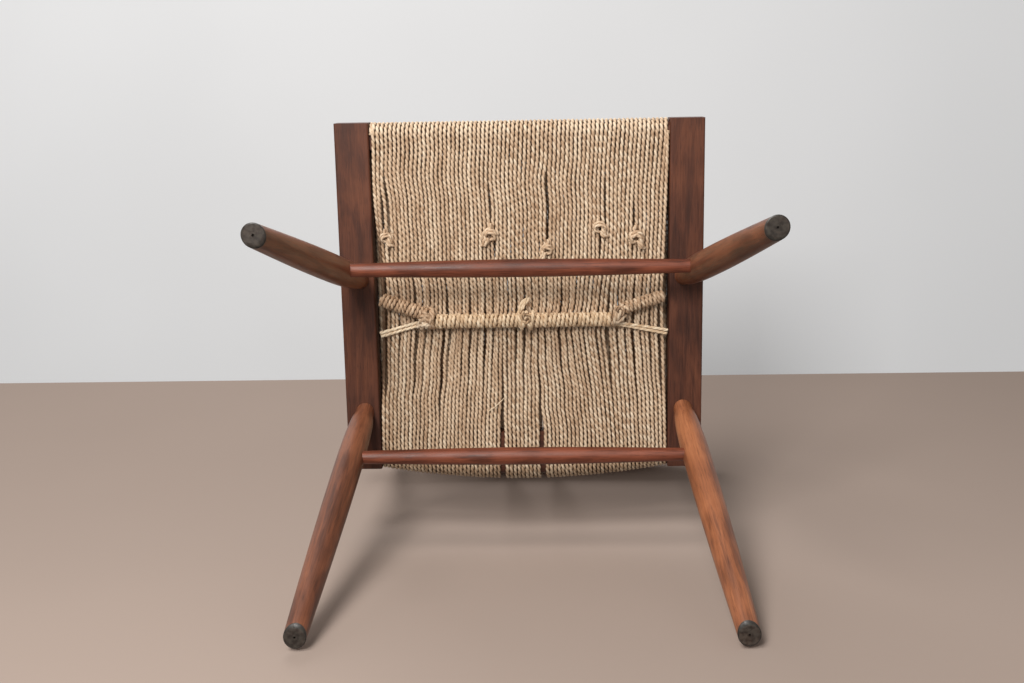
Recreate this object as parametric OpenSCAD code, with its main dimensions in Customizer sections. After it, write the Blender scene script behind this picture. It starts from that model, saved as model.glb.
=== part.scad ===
// Low chair with a cord seat. Two side rails and two bars make the seat frame, four splayed turned
// legs stand in the side rails with a stretcher between each pair, the cord is strung from front
// to back in two layers, and a curved crest rail stands on two posts and two spindles. A bundle
// wound with the same cord ties the lower layer across the middle.
// Millimetres, +Z up, the front towards -Y, left and right as seen from the front. The origin
// lies on the floor, in the middle of the chair's width and depth.

/* [Seat frame] */
// Width of the seat over both side rails
seat_w = 480; // [450:1:520]
// Length of a side rail, front to back
rail_l = 467; // [440:1:500]
// Width of a side rail
rail_w = 45; // [42:0.5:52]
// Thickness of a side rail
rail_t = 35; // [31:0.5:42]
// Height of the side rails' undersides above the floor
rail_z = 340; // [320:1:380]
// Radius of the side rails' eased long edges
rail_ease = 2.5; // [1:0.1:5]
// Thickness of the front and rear bars, which the cord goes round
bar_t = 22; // [18:0.5:24]
// Depth of the front bar, and of the part of the rear bar that holds the tenons and spindles
bar_d = 30; // [26:0.5:36]
// Depth of the rear bar in its middle, from its straight front edge to its bowed rear edge
rear_bar_d = 62; // [54:0.5:66]
// How far the middle of the rear bar bows to the back
bar_bow = 18; // [8:1:24]
// Length of a bar's tenon in the side rail
bar_tenon_l = 12; // [8:0.5:14]
// Width of a bar's tenon, front to back
bar_tenon_w = 18; // [14:0.5:22]
// Thickness of a bar's tenon
bar_tenon_t = 14; // [10:0.5:16]

/* [Legs] */
// Distance of a leg's centre from the outer face of its side rail
leg_inset = 24.8; // [23:0.1:26]
// Place of the front legs' tops, measured back from the middle of the seat
front_leg_y = -29.5; // [-60:0.5:0]
// Place of the rear legs' tops, measured back from the middle of the seat
rear_leg_y = 154; // [130:0.5:165]
// How far a front foot stands outside its leg's top
front_splay_out = 57; // [30:1:70]
// How far a front foot stands in front of its leg's top
front_splay_fore = 101.5; // [60:0.5:120]
// How far a rear foot stands outside its leg's top
rear_splay_out = 38; // [20:1:60]
// How far a rear foot stands behind its leg's top
rear_splay_aft = 167; // [130:1:175]
// Diameter of a leg at the floor
leg_foot_d = 26.2; // [24:0.1:30]
// Diameter of a leg at its thickest place
leg_belly_d = 35.8; // [34:0.1:40]
// Diameter of a leg's neck and tenon
leg_neck_d = 25; // [22:0.5:27]
// Distance of the thickest place from the side rail, along the leg
leg_belly_at = 100; // [85:1:130]
// Length of the straight neck below the side rail, along the leg
leg_neck_l = 8; // [7:0.5:12]
// Depth of a leg's tenon in the side rail, along the leg
leg_tenon_l = 24; // [18:0.5:26]
// Diameter of the flat that a foot stands on
foot_flat_d = 24; // [21:0.5:26]
// Diameter of the small hole that turning left in the middle of each foot
foot_hole_d = 3; // [2:0.5:5]
// Depth of that hole
foot_hole_l = 4; // [2:0.5:8]

/* [Stretchers] */
// Distance of the front stretcher below the side rails
front_stretcher_drop = 81; // [65:1:110]
// Distance of the rear stretcher below the side rails
rear_stretcher_drop = 78.5; // [65:0.5:110]
// Diameter of a stretcher where it enters the legs
stretcher_end_d = 17; // [14:0.5:20]
// Diameter of a stretcher in its middle
stretcher_mid_d = 22.8; // [21:0.1:28]
// Distance of a stretcher's end from the leg's centre line
stretcher_end_gap = 2; // [1:0.5:5]

/* [Back] */
// Length of the crest rail, end to end
crest_w = 552; // [520:2:600]
// Height of the crest rail
crest_h = 76; // [65:1:90]
// Thickness of the crest rail
crest_t = 20; // [18:0.5:26]
// Radius of the crest rail's curve, to the middle of its thickness
crest_r = 800; // [600:10:1200]
// Height of the crest rail's lower edge above the floor, in the middle
crest_z = 622; // [590:1:660]
// Place of the crest rail's lower edge, measured back from the middle of the seat
crest_y = 310; // [290:1:330]
// Lean of the crest rail to the back, in degrees
crest_lean = 14; // [6:1:20]
// Distance between the two middle spindles at the seat
spindle_gap = 58.8; // [58:0.2:90]
// Distance between the two middle spindles at the crest rail
spindle_top_gap = 70; // [60:1:100]
// Diameter of a spindle's neck, which stands between the cords
spindle_neck_d = 8.2; // [7:0.1:10]
// Diameter of a spindle at its thickest place
spindle_belly_d = 14.5; // [12:0.1:17]
// Diameter of a spindle at the crest rail
spindle_top_d = 10.5; // [9:0.1:12]
// Distance of a post's centre from the outer face of its side rail
post_inset = 19; // [16:0.5:20]
// Place of the posts' feet, measured back from the middle of the seat
post_y = 205; // [195:1:215]
// Distance of a post's centre from the crest rail's end
post_end_inset = 50; // [40:1:80]
// Diameter of a post's foot
post_foot_d = 15; // [13:0.1:16]
// Diameter of a post at its thickest place
post_belly_d = 21; // [18:0.1:24]
// Diameter of a post at the crest rail
post_top_d = 13; // [11:0.1:14]
// Depth of the posts' and spindles' tenons at the seat and in the crest rail
back_tenon_l = 17; // [14:0.5:18]
// Length of their straight necks above the seat and below the crest rail
back_neck_l = 9; // [7:0.5:14]

/* [Cord] */
// Diameter of the cord
cord_d = 4.55; // [4:0.05:4.8]
// Least distance between the centres of two neighbouring cords
cord_step = 5; // [5:0.1:6]
// Width of the slot between the cords at each middle spindle
cord_slot = 9; // [8.6:0.1:12]
// Distances of the left knots from the left side rail, and of each from the seat's middle line
left_knots = [[23.6, -82], [149.5, -81]];
// The same for the right knots, from the right side rail
right_knots = [[42.5, -70], [92.5, -88]];
// Length of a knot
knot_l = 9; // [8:0.5:14]
// Diameter of a knot
knot_d = 8.4; // [7:0.1:9]

/* [Cross tie] */
// Half the length of the tie's middle bundle
tie_half_l = 119; // [100:1:130]
// Place of the middle bundle, measured back from the middle of the seat
tie_y = 27; // [-20:1:40]
// Place where the tie's arms meet the sides, measured back from the middle of the seat
tie_arm_y = -4; // [-40:1:20]
// Place where the tie's loose ends meet the sides, measured back from the middle of the seat
tie_tail_y = 45; // [30:1:80]
// Diameter of the wound middle bundle
tie_d = 19.8; // [18:0.1:22]
// Diameter of the wound arms
tie_arm_d = 16; // [15:0.1:18]
// Distance from turn to turn of the middle bundle's winding
tie_step = 5.55; // [5.1:0.05:6.5]
// Distance from turn to turn of the arms' windings
tie_arm_step = 5.1; // [5.1:0.05:6.5]
// Diameter of the knots where the arms meet the middle bundle
tie_knot_d = 20; // [19:0.5:24]

/* [Fits] */
// Clearance between a round tenon and its hole, on the radius
fit = 0.15; // [0.05:0.01:0.3]
// Clearance between the cord and the wood that it goes round
cord_fit = 0.15; // [0.1:0.01:0.4]
// Clearance between the cords and what lies under them
rest_fit = 0.3; // [0.2:0.05:0.5]

/* [Hidden] */
$fn = 48;

walnut = [0.36, 0.20, 0.14];
walnut_red = [0.45, 0.25, 0.18];
walnut_pale = [0.52, 0.31, 0.20];
straw = [0.80, 0.68, 0.50];
straw_dark = [0.68, 0.54, 0.38];
left = -1;
right = 1;

// Heights and widths that several pieces share
inner_half = seat_w / 2 - rail_w;
bar_z = rail_z + rail_t / 2;
rail_top_z = rail_z + rail_t;

// The chair's rearmost point is the crest rail's upper back edge, its foremost the rails' front ends
crest_back_y = crest_y + crest_t / 2 * cos(crest_lean) + crest_h * sin(crest_lean);
middle_y = (crest_back_y - rail_l / 2) / 2;

// The cord's loops go round the bars on half circles of this radius, to the cord's centre
loop_r = bar_t / 2 + cord_fit + cord_d / 2;
nose_y = rail_l / 2 - cord_d - cord_fit;
bow_r = (pow(inner_half, 2) + pow(bar_bow, 2)) / (2 * bar_bow);
function rear_nose_y(x) = nose_y + sqrt(pow(bow_r, 2) - pow(x, 2)) - (bow_r - bar_bow);
function loop_end_y(x) = rear_nose_y(x) - bar_t / 2;
loop_front_y = -(nose_y - bar_t / 2);
lower_z = bar_z - loop_r;
under_cord_z = lower_z - cord_d / 2;

// Ends of the legs' centre lines: at the side rail's underside, and on the floor
leg_x = seat_w / 2 - leg_inset;
function leg_top(side, y) = [side * leg_x, y, rail_z];
function leg_foot(side, y, out, back) = [side * (leg_x + out), y + back, 0];
front_feet = [for (side = [left, right]) leg_foot(side, front_leg_y, front_splay_out, -front_splay_fore)];
rear_feet = [for (side = [left, right]) leg_foot(side, rear_leg_y, rear_splay_out, rear_splay_aft)];

// Angles that turn +Z towards a vector
function aim(v) = [0, acos(v.z / norm(v)), atan2(v.y, v.x)];
// Point of the line from a to b at a height
function at_height(a, b, z) = a + (b - a) * (z - a.z) / (b.z - a.z);

// Ends of the posts' and spindles' centre lines, at the seat and at the crest rail's lower edge
post_foot_x = seat_w / 2 - post_inset;
spindle_foot_z = bar_z + bar_t / 2;
spindle_foot_y = rear_nose_y(spindle_gap / 2) - bar_d / 2;
crest_power = 5;
function crest_half_h(x) = crest_h / 2 * sqrt(max(0, 1 - pow(abs(x) / (crest_w / 2), crest_power)));
function crest_point(x, up) =
    let (y = -(crest_r - sqrt(pow(crest_r, 2) - pow(x, 2))))
    [x, crest_y + y * cos(crest_lean) + up * sin(crest_lean), crest_z - y * sin(crest_lean) + up * cos(crest_lean)];
function crest_seat(x) = crest_point(x, crest_h / 2 - crest_half_h(x));
function post_foot(side) = [side * post_foot_x, post_y, rail_top_z];
function post_head(side) = crest_seat(side * (crest_w / 2 - post_end_inset));
function spindle_foot(side) = [side * spindle_gap / 2, spindle_foot_y, spindle_foot_z];
function spindle_head(side) = crest_seat(side * spindle_top_gap / 2);

outline_steps = 8;

// Outline of a leg for turning: the neck and tenon at the top, a short round shoulder down to the
// thickest place, and a long slow taper to the foot; z runs down the leg from the side rail
foot_spare = 20;
function leg_outline(length) =
    let (neck = leg_neck_d / 2, belly = leg_belly_d / 2, foot = leg_foot_d / 2)
    concat(
        [[0, -leg_tenon_l], [neck, -leg_tenon_l]],
        [for (i = [0:outline_steps]) let (a = 90 * i / outline_steps)
            [neck + (belly - neck) * sin(a), leg_belly_at - (leg_belly_at - leg_neck_l) * cos(a)]],
        [for (i = [1:outline_steps]) let (a = 90 * i / outline_steps)
            [foot + (belly - foot) * cos(a), leg_belly_at + (length - leg_belly_at) * i / outline_steps]],
        [[foot, length + foot_spare], [0, length + foot_spare]]);

// Outline of a spindle for turning: straight tenons and necks, and a swelling between them that is
// thickest at a share of the length
function spindle_outline(length, d0, d1, d2, share) =
    let (low = back_neck_l, high = length - back_neck_l, thick = low + (high - low) * share)
    concat(
        [[0, -back_tenon_l], [d0 / 2, -back_tenon_l]],
        [for (i = [0:outline_steps]) let (a = 90 * i / outline_steps)
            [d0 / 2 + (d1 - d0) / 2 * sin(a), low + (thick - low) * i / outline_steps]],
        [for (i = [1:outline_steps]) let (a = 90 * i / outline_steps)
            [d2 / 2 + (d1 - d2) / 2 * cos(a), thick + (high - thick) * i / outline_steps]],
        [[d2 / 2, length + back_tenon_l], [0, length + back_tenon_l]]);

// Places all the pieces so that the origin is under the middle of the chair
module placed() { translate([0, -middle_y, 0]) children(); }

// A solid of revolution that stands on the line from a to b
module along(a, b) { translate(a) rotate(aim(b - a)) children(); }

// Hole for a round tenon, from a point on the line from a to b backwards, and clear in front
module tenon_hole(a, b, d, depth) {
    along(a, b) translate([0, 0, -depth - fit]) cylinder(d = d + 2 * fit, h = depth + fit + d);
}

module rounded_bar_section(w, h, r) {
    square([w - 2 * r, h], center = true);
    square([w, h - 2 * r], center = true);
    for (x = [-1, 1], y = [-1, 1]) translate([x * (w / 2 - r), y * (h / 2 - r)]) circle(r);
}

// Section of a bar: its outer edge is a half circle, and x runs outwards from the nose
module nose_section(depth) {
    translate([-bar_t / 2, 0]) circle(d = bar_t);
    translate([-depth, -bar_t / 2]) square([depth - bar_t / 2, bar_t]);
}

module bar_tenons(y, grow) {
    for (side = [left, right])
        translate([side * (inner_half + bar_tenon_l / 2 + (grow > 0 ? fit / 2 : -fit)), y, bar_z])
            cube([bar_tenon_l + 2 * fit, bar_tenon_w + 2 * grow, bar_tenon_t + 2 * grow], center = true);
}

front_bar_y = -(nose_y - bar_d / 2);
rear_bar_y = rear_nose_y(inner_half) - bar_d / 2;

module side_rail(side) {
    color(walnut) placed() mirror([side < 0 ? 1 : 0, 0, 0]) difference() {
        translate([(seat_w - rail_w) / 2, rail_l / 2, bar_z])
            rotate([90, 0, 0]) linear_extrude(rail_l) rounded_bar_section(rail_w, rail_t, rail_ease);
        tenon_hole(leg_top(right, front_leg_y), front_feet[1], leg_neck_d, leg_tenon_l);
        tenon_hole(leg_top(right, rear_leg_y), rear_feet[1], leg_neck_d, leg_tenon_l);
        tenon_hole(post_foot(right), post_head(right), post_foot_d, back_tenon_l);
        bar_tenons(front_bar_y, fit);
        bar_tenons(rear_bar_y, fit);
    }
}

module front_bar() {
    color(walnut) placed() {
        translate([-inner_half + fit, -nose_y, bar_z]) rotate([90, 0, 90])
            linear_extrude(2 * (inner_half - fit)) mirror([1, 0]) nose_section(bar_d);
        bar_tenons(front_bar_y, 0);
    }
}

module rear_bar() {
    color(walnut) placed() difference() {
        union() {
            intersection() {
                translate([0, nose_y + bar_bow - bow_r, bar_z]) rotate([0, 0, 60])
                    rotate_extrude(angle = 60, $fn = 360) translate([bow_r, 0]) nose_section(rear_bar_d + bar_bow);
                translate([-inner_half + fit, nose_y + bar_bow - rear_bar_d, bar_z - bar_t])
                    cube([2 * (inner_half - fit), 2 * rear_bar_d, 2 * bar_t]);
            }
            bar_tenons(rear_bar_y, 0);
        }
        for (side = [left, right])
            tenon_hole(spindle_foot(side), spindle_head(side), spindle_neck_d, back_tenon_l);
    }
}

// A stretcher's centre line runs from leg to leg at one height
function stretcher_y(top, foot, drop) = at_height(top, foot, rail_z - drop).y;
function stretcher_x(top, foot, drop) = at_height(top, foot, rail_z - drop).x;

module stretcher_hole(top, foot, drop) {
    translate([stretcher_x(top, foot, drop) - stretcher_end_gap + fit, stretcher_y(top, foot, drop), rail_z - drop])
        rotate([0, -90, 0]) cylinder(d = stretcher_end_d + 2 * fit, h = leg_belly_d);
}

// Everything below the floor, with a shallow rim around the foot's flat that eases its edge
module below_floor(foot) {
    low = -foot_spare - leg_belly_d;
    rim = foot_flat_d / 2 + 1.5 * foot_spare;
    translate(foot) rotate_extrude()
        polygon([[0, 0], [foot_flat_d / 2, 0], [rim, foot_spare], [rim, low], [0, low]]);
}

// A leg is turned for the right side, and mirrored for the left
module leg(side, top, foot, drop, shade) {
    color(shade) placed() mirror([side < 0 ? 1 : 0, 0, 0]) difference() {
        difference() {
            along(top, foot) rotate_extrude() polygon(leg_outline(norm(foot - top)));
            below_floor(foot);
        }
        along(foot, top) rotate([0, 0, 30]) translate([0, 0, -foot_hole_l])
            cylinder(d = foot_hole_d, h = 2 * foot_hole_l);
        stretcher_hole(top, foot, drop);
    }
}

module leg_front(side, shade) { leg(side, leg_top(right, front_leg_y), front_feet[1], front_stretcher_drop, shade); }
module leg_rear(side, shade) { leg(side, leg_top(right, rear_leg_y), rear_feet[1], rear_stretcher_drop, shade); }

module stretcher(top, foot, drop) {
    half = stretcher_x(top, foot, drop) - stretcher_end_gap;
    swell = half - leg_belly_d / 2;
    steps = 2 * outline_steps;
    color(walnut_red) placed() translate([0, stretcher_y(top, foot, drop), rail_z - drop]) rotate([0, 90, 0])
        rotate_extrude() polygon(concat(
            [[0, -half], [stretcher_end_d / 2, -half]],
            [for (i = [0:steps]) let (a = 180 * i / steps - 90)
                [stretcher_end_d / 2 + (stretcher_mid_d - stretcher_end_d) / 2 * cos(a), swell * a / 90]],
            [[stretcher_end_d / 2, half], [0, half]]));
}

module back_post(side) {
    foot = post_foot(side);
    head = post_head(side);
    color(walnut_red) placed() along(foot, head)
        rotate_extrude() polygon(spindle_outline(norm(head - foot), post_foot_d, post_belly_d, post_top_d, 0.4));
}

module back_spindle(side) {
    foot = spindle_foot(side);
    head = spindle_head(side);
    color(walnut_red) placed() along(foot, head)
        rotate_extrude()
            polygon(spindle_outline(norm(head - foot), spindle_neck_d, spindle_belly_d, spindle_top_d, 0.5));
}

// The crest rail is a slice of a tube, cut to a long oval with full ends
crest_steps = 32;
module crest_rail() {
    half_w = crest_w / 2;
    xs = [for (i = [0:crest_steps]) half_w * sin(180 * i / crest_steps - 90)];
    color(walnut) placed() difference() {
        translate([0, crest_y, crest_z]) rotate([-crest_lean, 0, 0]) intersection() {
            translate([0, -crest_r, 0]) rotate([0, 0, 45]) rotate_extrude(angle = 90, $fn = 360)
                translate([crest_r - crest_t / 2, 0]) square([crest_t, crest_h]);
            translate([0, crest_t, 0]) rotate([90, 0, 0]) linear_extrude(crest_r / 2) polygon(concat(
                [for (x = xs) [x, crest_h / 2 + crest_half_h(x)]],
                [for (i = [1:crest_steps - 1]) let (x = xs[crest_steps - i]) [x, crest_h / 2 - crest_half_h(x)]]));
        }
        for (side = [left, right]) {
            tenon_hole(post_head(side), post_foot(side), post_top_d, back_tenon_l);
            tenon_hole(spindle_head(side), spindle_foot(side), spindle_top_d, back_tenon_l);
        }
    }
}

// A bay of cord lies between two widths at the rear bar, where its turns share it evenly. At the
// front bar all the bays' turns share the seat's width evenly, so the slots narrow to the front. A
// lower run lies half a step beside its upper run, so that the tube climbs round both bars without
// a break. Runs are counted from the bay's left end, lower runs by whole numbers and upper runs
// half way between them. A bay's third number counts the lower runs of the bays to its left.
slot_in = spindle_gap / 2 - cord_slot / 2;
slot_out = spindle_gap / 2 + cord_slot / 2;
side_gap = 0.5;
cord_edge = inner_half - side_gap;
function bay_turns(bay) = floor((bay[1] - bay[0] - cord_d) / cord_step);
function bay_step(bay) = (bay[1] - bay[0] - cord_d) / bay_turns(bay);
left_bay = [-cord_edge, -slot_out, 0];
middle_bay = [-slot_in, slot_in, bay_turns(left_bay) + 1];
right_bay = [slot_out, cord_edge, bay_turns(left_bay) + bay_turns(middle_bay) + 2];
front_step = (2 * cord_edge - cord_d) / (right_bay[2] + bay_turns(right_bay));
function rear_x(bay, run) = bay[0] + cord_d / 2 + bay_step(bay) * run;
function front_x(bay, run) = -cord_edge + cord_d / 2 + front_step * (bay[2] + run);
function run_x(bay, run, y) = front_x(bay, run)
    + (rear_x(bay, run) - front_x(bay, run)) * (y - loop_front_y) / (loop_end_y(rear_x(bay, run)) - loop_front_y);
function run_point(bay, run, y, z) = [run_x(bay, run, y), y, z];

// A straight run of cord, which reaches a hair into what it joins at both ends
hair = 0.08;
module cord_run(bay, run, z, y0, y1) {
    a = run_point(bay, run, y0, z);
    b = run_point(bay, run, y1, z);
    way = (b - a) / norm(b - a);
    along(a - hair * way, b) cylinder(d = cord_d, h = norm(b - a) + 2 * hair);
}

// Half a turn round a bar between an upper run at x0 and a lower run at x1. It is a little
// thinner than the runs, so that their ends hold its ends.
module half_turn(x0, x1, y, way) {
    slant = atan((x1 - x0) / (2 * loop_r));
    translate([(x0 + x1) / 2, y, bar_z]) mirror([0, way < 0 ? 1 : 0, 0]) rotate([0, 90 - slant, 0])
        rotate_extrude(angle = 180) translate([loop_r / cos(slant), 0]) circle(d = cord_d - 0.03);
}

// One length of cord: the turns from first to last of a bay, as one tube. It starts under the
// front bar, as far back as y_start, and its last lower run ends at y_end.
module cord_length(bay, first, last, y_start, y_end) {
    union() for (k = [first:last]) {
        end_y = loop_end_y(rear_x(bay, k + 0.75));
        half_turn(front_x(bay, k + 0.5), front_x(bay, k), loop_front_y, -1);
        cord_run(bay, k + 0.5, bar_z + loop_r, loop_front_y, end_y);
        half_turn(rear_x(bay, k + 0.5), rear_x(bay, k + 1), end_y, 1);
        cord_run(bay, k + 1, lower_z, k == last ? y_end : loop_front_y, end_y);
        if (k == first) cord_run(bay, k, lower_z, loop_front_y, y_start);
    }
}

// Knots of a bay: the turn that starts after each knot, and the knot's place
function knot_turn(bay, x, y) = min(bay_turns(bay) - 1,
    max(1, round((x - run_x(bay, 0, y)) / (run_x(bay, 1, y) - run_x(bay, 0, y)))));
left_marks = [for (k = left_knots) [knot_turn(left_bay, k[0] - inner_half, k[1]), k[1]]];
right_marks = [for (i = [len(right_knots) - 1:-1:0])
    [knot_turn(right_bay, inner_half - right_knots[i][0], right_knots[i][1]), right_knots[i][1]]];
knot_seam = 0.1;

module bay_cords(bay, marks) {
    last = bay_turns(bay) - 1;
    count = len(marks);
    color(straw) placed() for (i = [0:count])
        cord_length(bay, i == 0 ? 0 : marks[i - 1][0], i == count ? last : marks[i][0] - 1,
                    i == 0 ? loop_front_y + cord_d : marks[i - 1][1] - knot_l / 2 - knot_seam,
                    i == count ? loop_front_y : marks[i][1] + knot_l / 2 + knot_seam);
}

module seat_cord_left() { bay_cords(left_bay, left_marks); }
module seat_cord_middle() { bay_cords(middle_bay, []); }
module seat_cord_right() { bay_cords(right_bay, right_marks); }

// A knot joins two lengths of cord: a short barrel between their ends, and a ball that hangs
// below the neighbouring cords
barrel_d = cord_d + 0.6;
module knot(bay, mark) {
    reach = (knot_d + cord_d) / 2 + knot_seam;
    drop = sqrt(max(0, pow(reach, 2) - pow(cord_step, 2)));
    translate([run_x(bay, mark[0], mark[1]), mark[1], lower_z]) {
        translate([0, -knot_l / 2, 0]) rotate([-90, 0, 0]) cylinder(d = barrel_d, h = knot_l);
        translate([0, 0, -drop]) sphere(d = knot_d);
    }
}

module cord_knots() {
    color(straw_dark) placed() {
        for (mark = left_marks) knot(left_bay, mark);
        for (mark = right_marks) knot(right_bay, mark);
    }
}

// The cross tie hangs close under the lower cords: a middle bundle, two arms to the sides and,
// where they meet, a knot from which two loose ends of cord run to the side
tie_z = under_cord_z - rest_fit - tie_d / 2;
arm_z = under_cord_z - rest_fit - tie_arm_d / 2;
tail_z = under_cord_z - rest_fit - cord_d / 2;
knot_reach = tie_knot_d * 0.35;
function tie_knot_place(side) = [side * (tie_half_l + knot_reach), tie_y, tie_z];
arm_end_gap = 9;
arm_start_drop = 2.6;
function arm_end(side) = [side * (inner_half - arm_end_gap), tie_arm_y, arm_z];
function arm_start(side) =
    let (a = tie_knot_place(side), b = arm_end(side), d = [b.x - a.x, b.y - a.y, 0])
    [a.x, a.y, a.z - arm_start_drop] + d * knot_reach / norm(d);
wrap_d = cord_d;
wrap_rings = 8;
wrap_sides = 6;
wrap_room = 0.25;

// Core of a bundle, thin enough to clear the flat sides of its winding
function core_d(d) = 2 * ((d / 2 - wrap_d / 2) * cos(180 / wrap_rings) - wrap_d / 2 - wrap_room);
module core(a, b, d) {
    along(a, b) cylinder(d = core_d(d), h = norm(b - a));
}

// Centre line of a winding: a helix about the X axis, run on straight at both ends by one
// diameter of the cord; each row is a place, the outward direction and the way across both
function wrap_row(r, step, a, run) =
    let (out = [0, cos(a), sin(a)], way = [step / (2 * PI), -r * sin(a), r * cos(a)])
    let (t = way / norm(way))
    [[step * a / 360, r * cos(a), r * sin(a)] + t * run, out, cross(t, out)];
function wrap_rows(r, step, turns) =
    let (count = wrap_rings * turns)
    [for (i = [-1:count + 1])
        wrap_row(r, step, 360 / wrap_rings * min(count, max(0, i)),
                 i < 0 ? -wrap_d : (i > count ? wrap_d : 0))];
module tube(rows, d, sides) {
    rings = len(rows);
    points = [for (row = rows, j = [0:sides - 1])
        row[0] + d / 2 * (row[1] * cos(360 * j / sides) + row[2] * sin(360 * j / sides))];
    walls = [for (i = [0:rings - 2], j = [0:sides - 1])
        let (a = i * sides + j, b = i * sides + (j + 1) % sides)
        each [[a, b + sides, b], [a, a + sides, b + sides]]];
    caps = [for (j = [1:sides - 2])
        let (z = (rings - 1) * sides)
        each [[0, j, j + 1], [z, z + j + 1, z + j]]];
    polyhedron(points, concat(walls, caps));
}

function wrap_turns(length, step) = floor((length - wrap_d) / step);
module wrap(a, b, d, step) {
    length = norm(b - a);
    turns = wrap_turns(length, step);
    along(a, b) rotate([0, -90, 0]) translate([(length - turns * step) / 2, 0, 0])
        tube(wrap_rows((d - wrap_d) / 2, step, turns), wrap_d, wrap_sides);
}

middle_ends = [[-tie_half_l, tie_y, tie_z], [tie_half_l, tie_y, tie_z]];
module tie_core_middle() { color(straw_dark) placed() core(middle_ends[0], middle_ends[1], tie_d); }
module tie_wrap_middle() { color(straw) placed() wrap(middle_ends[0], middle_ends[1], tie_d, tie_step); }
module tie_core_arm(side) { color(straw_dark) placed() core(arm_start(side), arm_end(side), tie_arm_d); }
module tie_wrap_arm(side) { color(straw) placed() wrap(arm_start(side), arm_end(side), tie_arm_d, tie_arm_step); }

// A knot is a ball cut flat where the middle bundle and the arm end
module tie_knot(side) {
    place = tie_knot_place(side);
    color(straw_dark) placed() difference() {
        translate(place) sphere(d = tie_knot_d);
        translate([side * (tie_half_l + knot_seam - tie_knot_d), place.y, place.z])
            cube(2 * tie_knot_d, center = true);
        along(arm_start(side), arm_end(side))
            translate([0, 0, tie_knot_d - knot_seam]) cube(2 * tie_knot_d, center = true);
        translate([place.x, place.y, under_cord_z - rest_fit]) cylinder(d = 2 * tie_knot_d, h = tie_knot_d);
    }
}

// Two loose ends side by side, from the knot to the side rail's inner face
module tie_tail(side) {
    place = tie_knot_place(side);
    start = [place.x, place.y, tail_z];
    end = [side * (inner_half - rest_fit), tie_tail_y, tail_z];
    way = (end - start) / norm(end - start);
    across = [-way.y, way.x, 0] * (wrap_d + knot_seam) / 2;
    color(straw) placed() difference() {
        for (shift = [-1, 1]) translate(shift * across) along(start + way * wrap_d, end + way * wrap_d)
            cylinder(d = wrap_d, h = norm(end - start));
        translate(place) sphere(d = tie_knot_d + 2 * knot_seam);
        translate([side * (inner_half - rest_fit + tie_knot_d), end.y, tail_z]) cube(2 * tie_knot_d, center = true);
    }
}

// Least gap between a part of a cord's turn and the same part of the next turn, measured between
// points on their centre lines: the upper and lower runs, and the rear and front half turns
function run_points(bay, run, z) = [for (i = [0:8])
    run_point(bay, run, loop_front_y + (loop_end_y(rear_x(bay, run)) - loop_front_y) * i / 8, z)];
function bend_points(x0, x1, y, way) = [for (a = [0:15:180])
    [(x0 + x1) / 2 - (x1 - x0) / 2 * cos(a), y + way * loop_r * sin(a), bar_z + loop_r * cos(a)]];
function turn_parts(bay, k) =
    [run_points(bay, k + 0.5, bar_z + loop_r), run_points(bay, k + 1, lower_z),
     bend_points(rear_x(bay, k + 0.5), rear_x(bay, k + 1), loop_end_y(rear_x(bay, k + 0.75)), 1),
     bend_points(front_x(bay, k + 0.5), front_x(bay, k), loop_front_y, -1)];
function least(a, b) = min([for (p = a, q = b) norm(p - q)]);
function bay_gap(bay) = min([for (k = [0:bay_turns(bay) - 2], i = [0:3])
    least(turn_parts(bay, k)[i], turn_parts(bay, k + 1)[i])]) - cord_d;
// The same for a winding: a point of one turn against the half of the next turn that lies around it
function wrap_gap(d, step) = let (rows = wrap_rows((d - wrap_d) / 2, step, 2))
    least([rows[1][0]], [for (i = [5:13]) rows[i][0]]) - wrap_d;
echo(str("turns ", bay_turns(left_bay), " + ", bay_turns(middle_bay), " + ", bay_turns(right_bay),
         ", knots after ", [for (mark = left_marks) mark[0]], " and ", [for (mark = right_marks) mark[0]],
         ", least gaps ", bay_gap(left_bay), ", ", bay_gap(middle_bay), ", ", bay_gap(right_bay)));
arm_turns = wrap_turns(norm(arm_end(right) - arm_start(right)), tie_arm_step);
echo(str("winding turns ", wrap_turns(2 * tie_half_l, tie_step), " and ", arm_turns,
         ", least gaps ", wrap_gap(tie_d, tie_step), ", ", wrap_gap(tie_arm_d, tie_arm_step)));

side_rail(left);  // side_rail_left
side_rail(right);  // side_rail_right
front_bar();
rear_bar();
leg_front(left, walnut_red);  // leg_front_left
leg_front(right, walnut_pale);  // leg_front_right
leg_rear(left, walnut_red);  // leg_rear_left
leg_rear(right, walnut_pale);  // leg_rear_right
stretcher(leg_top(right, front_leg_y), front_feet[1], front_stretcher_drop);  // stretcher_front
stretcher(leg_top(right, rear_leg_y), rear_feet[1], rear_stretcher_drop);  // stretcher_rear
back_post(left);  // back_post_left
back_post(right);  // back_post_right
back_spindle(left);  // back_spindle_left
back_spindle(right);  // back_spindle_right
crest_rail();
seat_cord_left();
seat_cord_middle();
seat_cord_right();
cord_knots();
tie_core_arm(left);  // tie_core_left
tie_core_middle();
tie_core_arm(right);  // tie_core_right
tie_wrap_arm(left);  // tie_wrap_left
tie_wrap_middle();
tie_wrap_arm(right);  // tie_wrap_right
tie_knot(left);  // tie_knot_left
tie_knot(right);  // tie_knot_right
tie_tail(left);  // tie_tail_left
tie_tail(right);  // tie_tail_right
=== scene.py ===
"""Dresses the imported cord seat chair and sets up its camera, lamps and floor.

Lengths are millimetres in the seat's own frame, in which y is measured back from the middle of the
side rails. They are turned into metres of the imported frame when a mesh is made.
"""

import logging
import math
from dataclasses import dataclass, field
from enum import Enum

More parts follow.
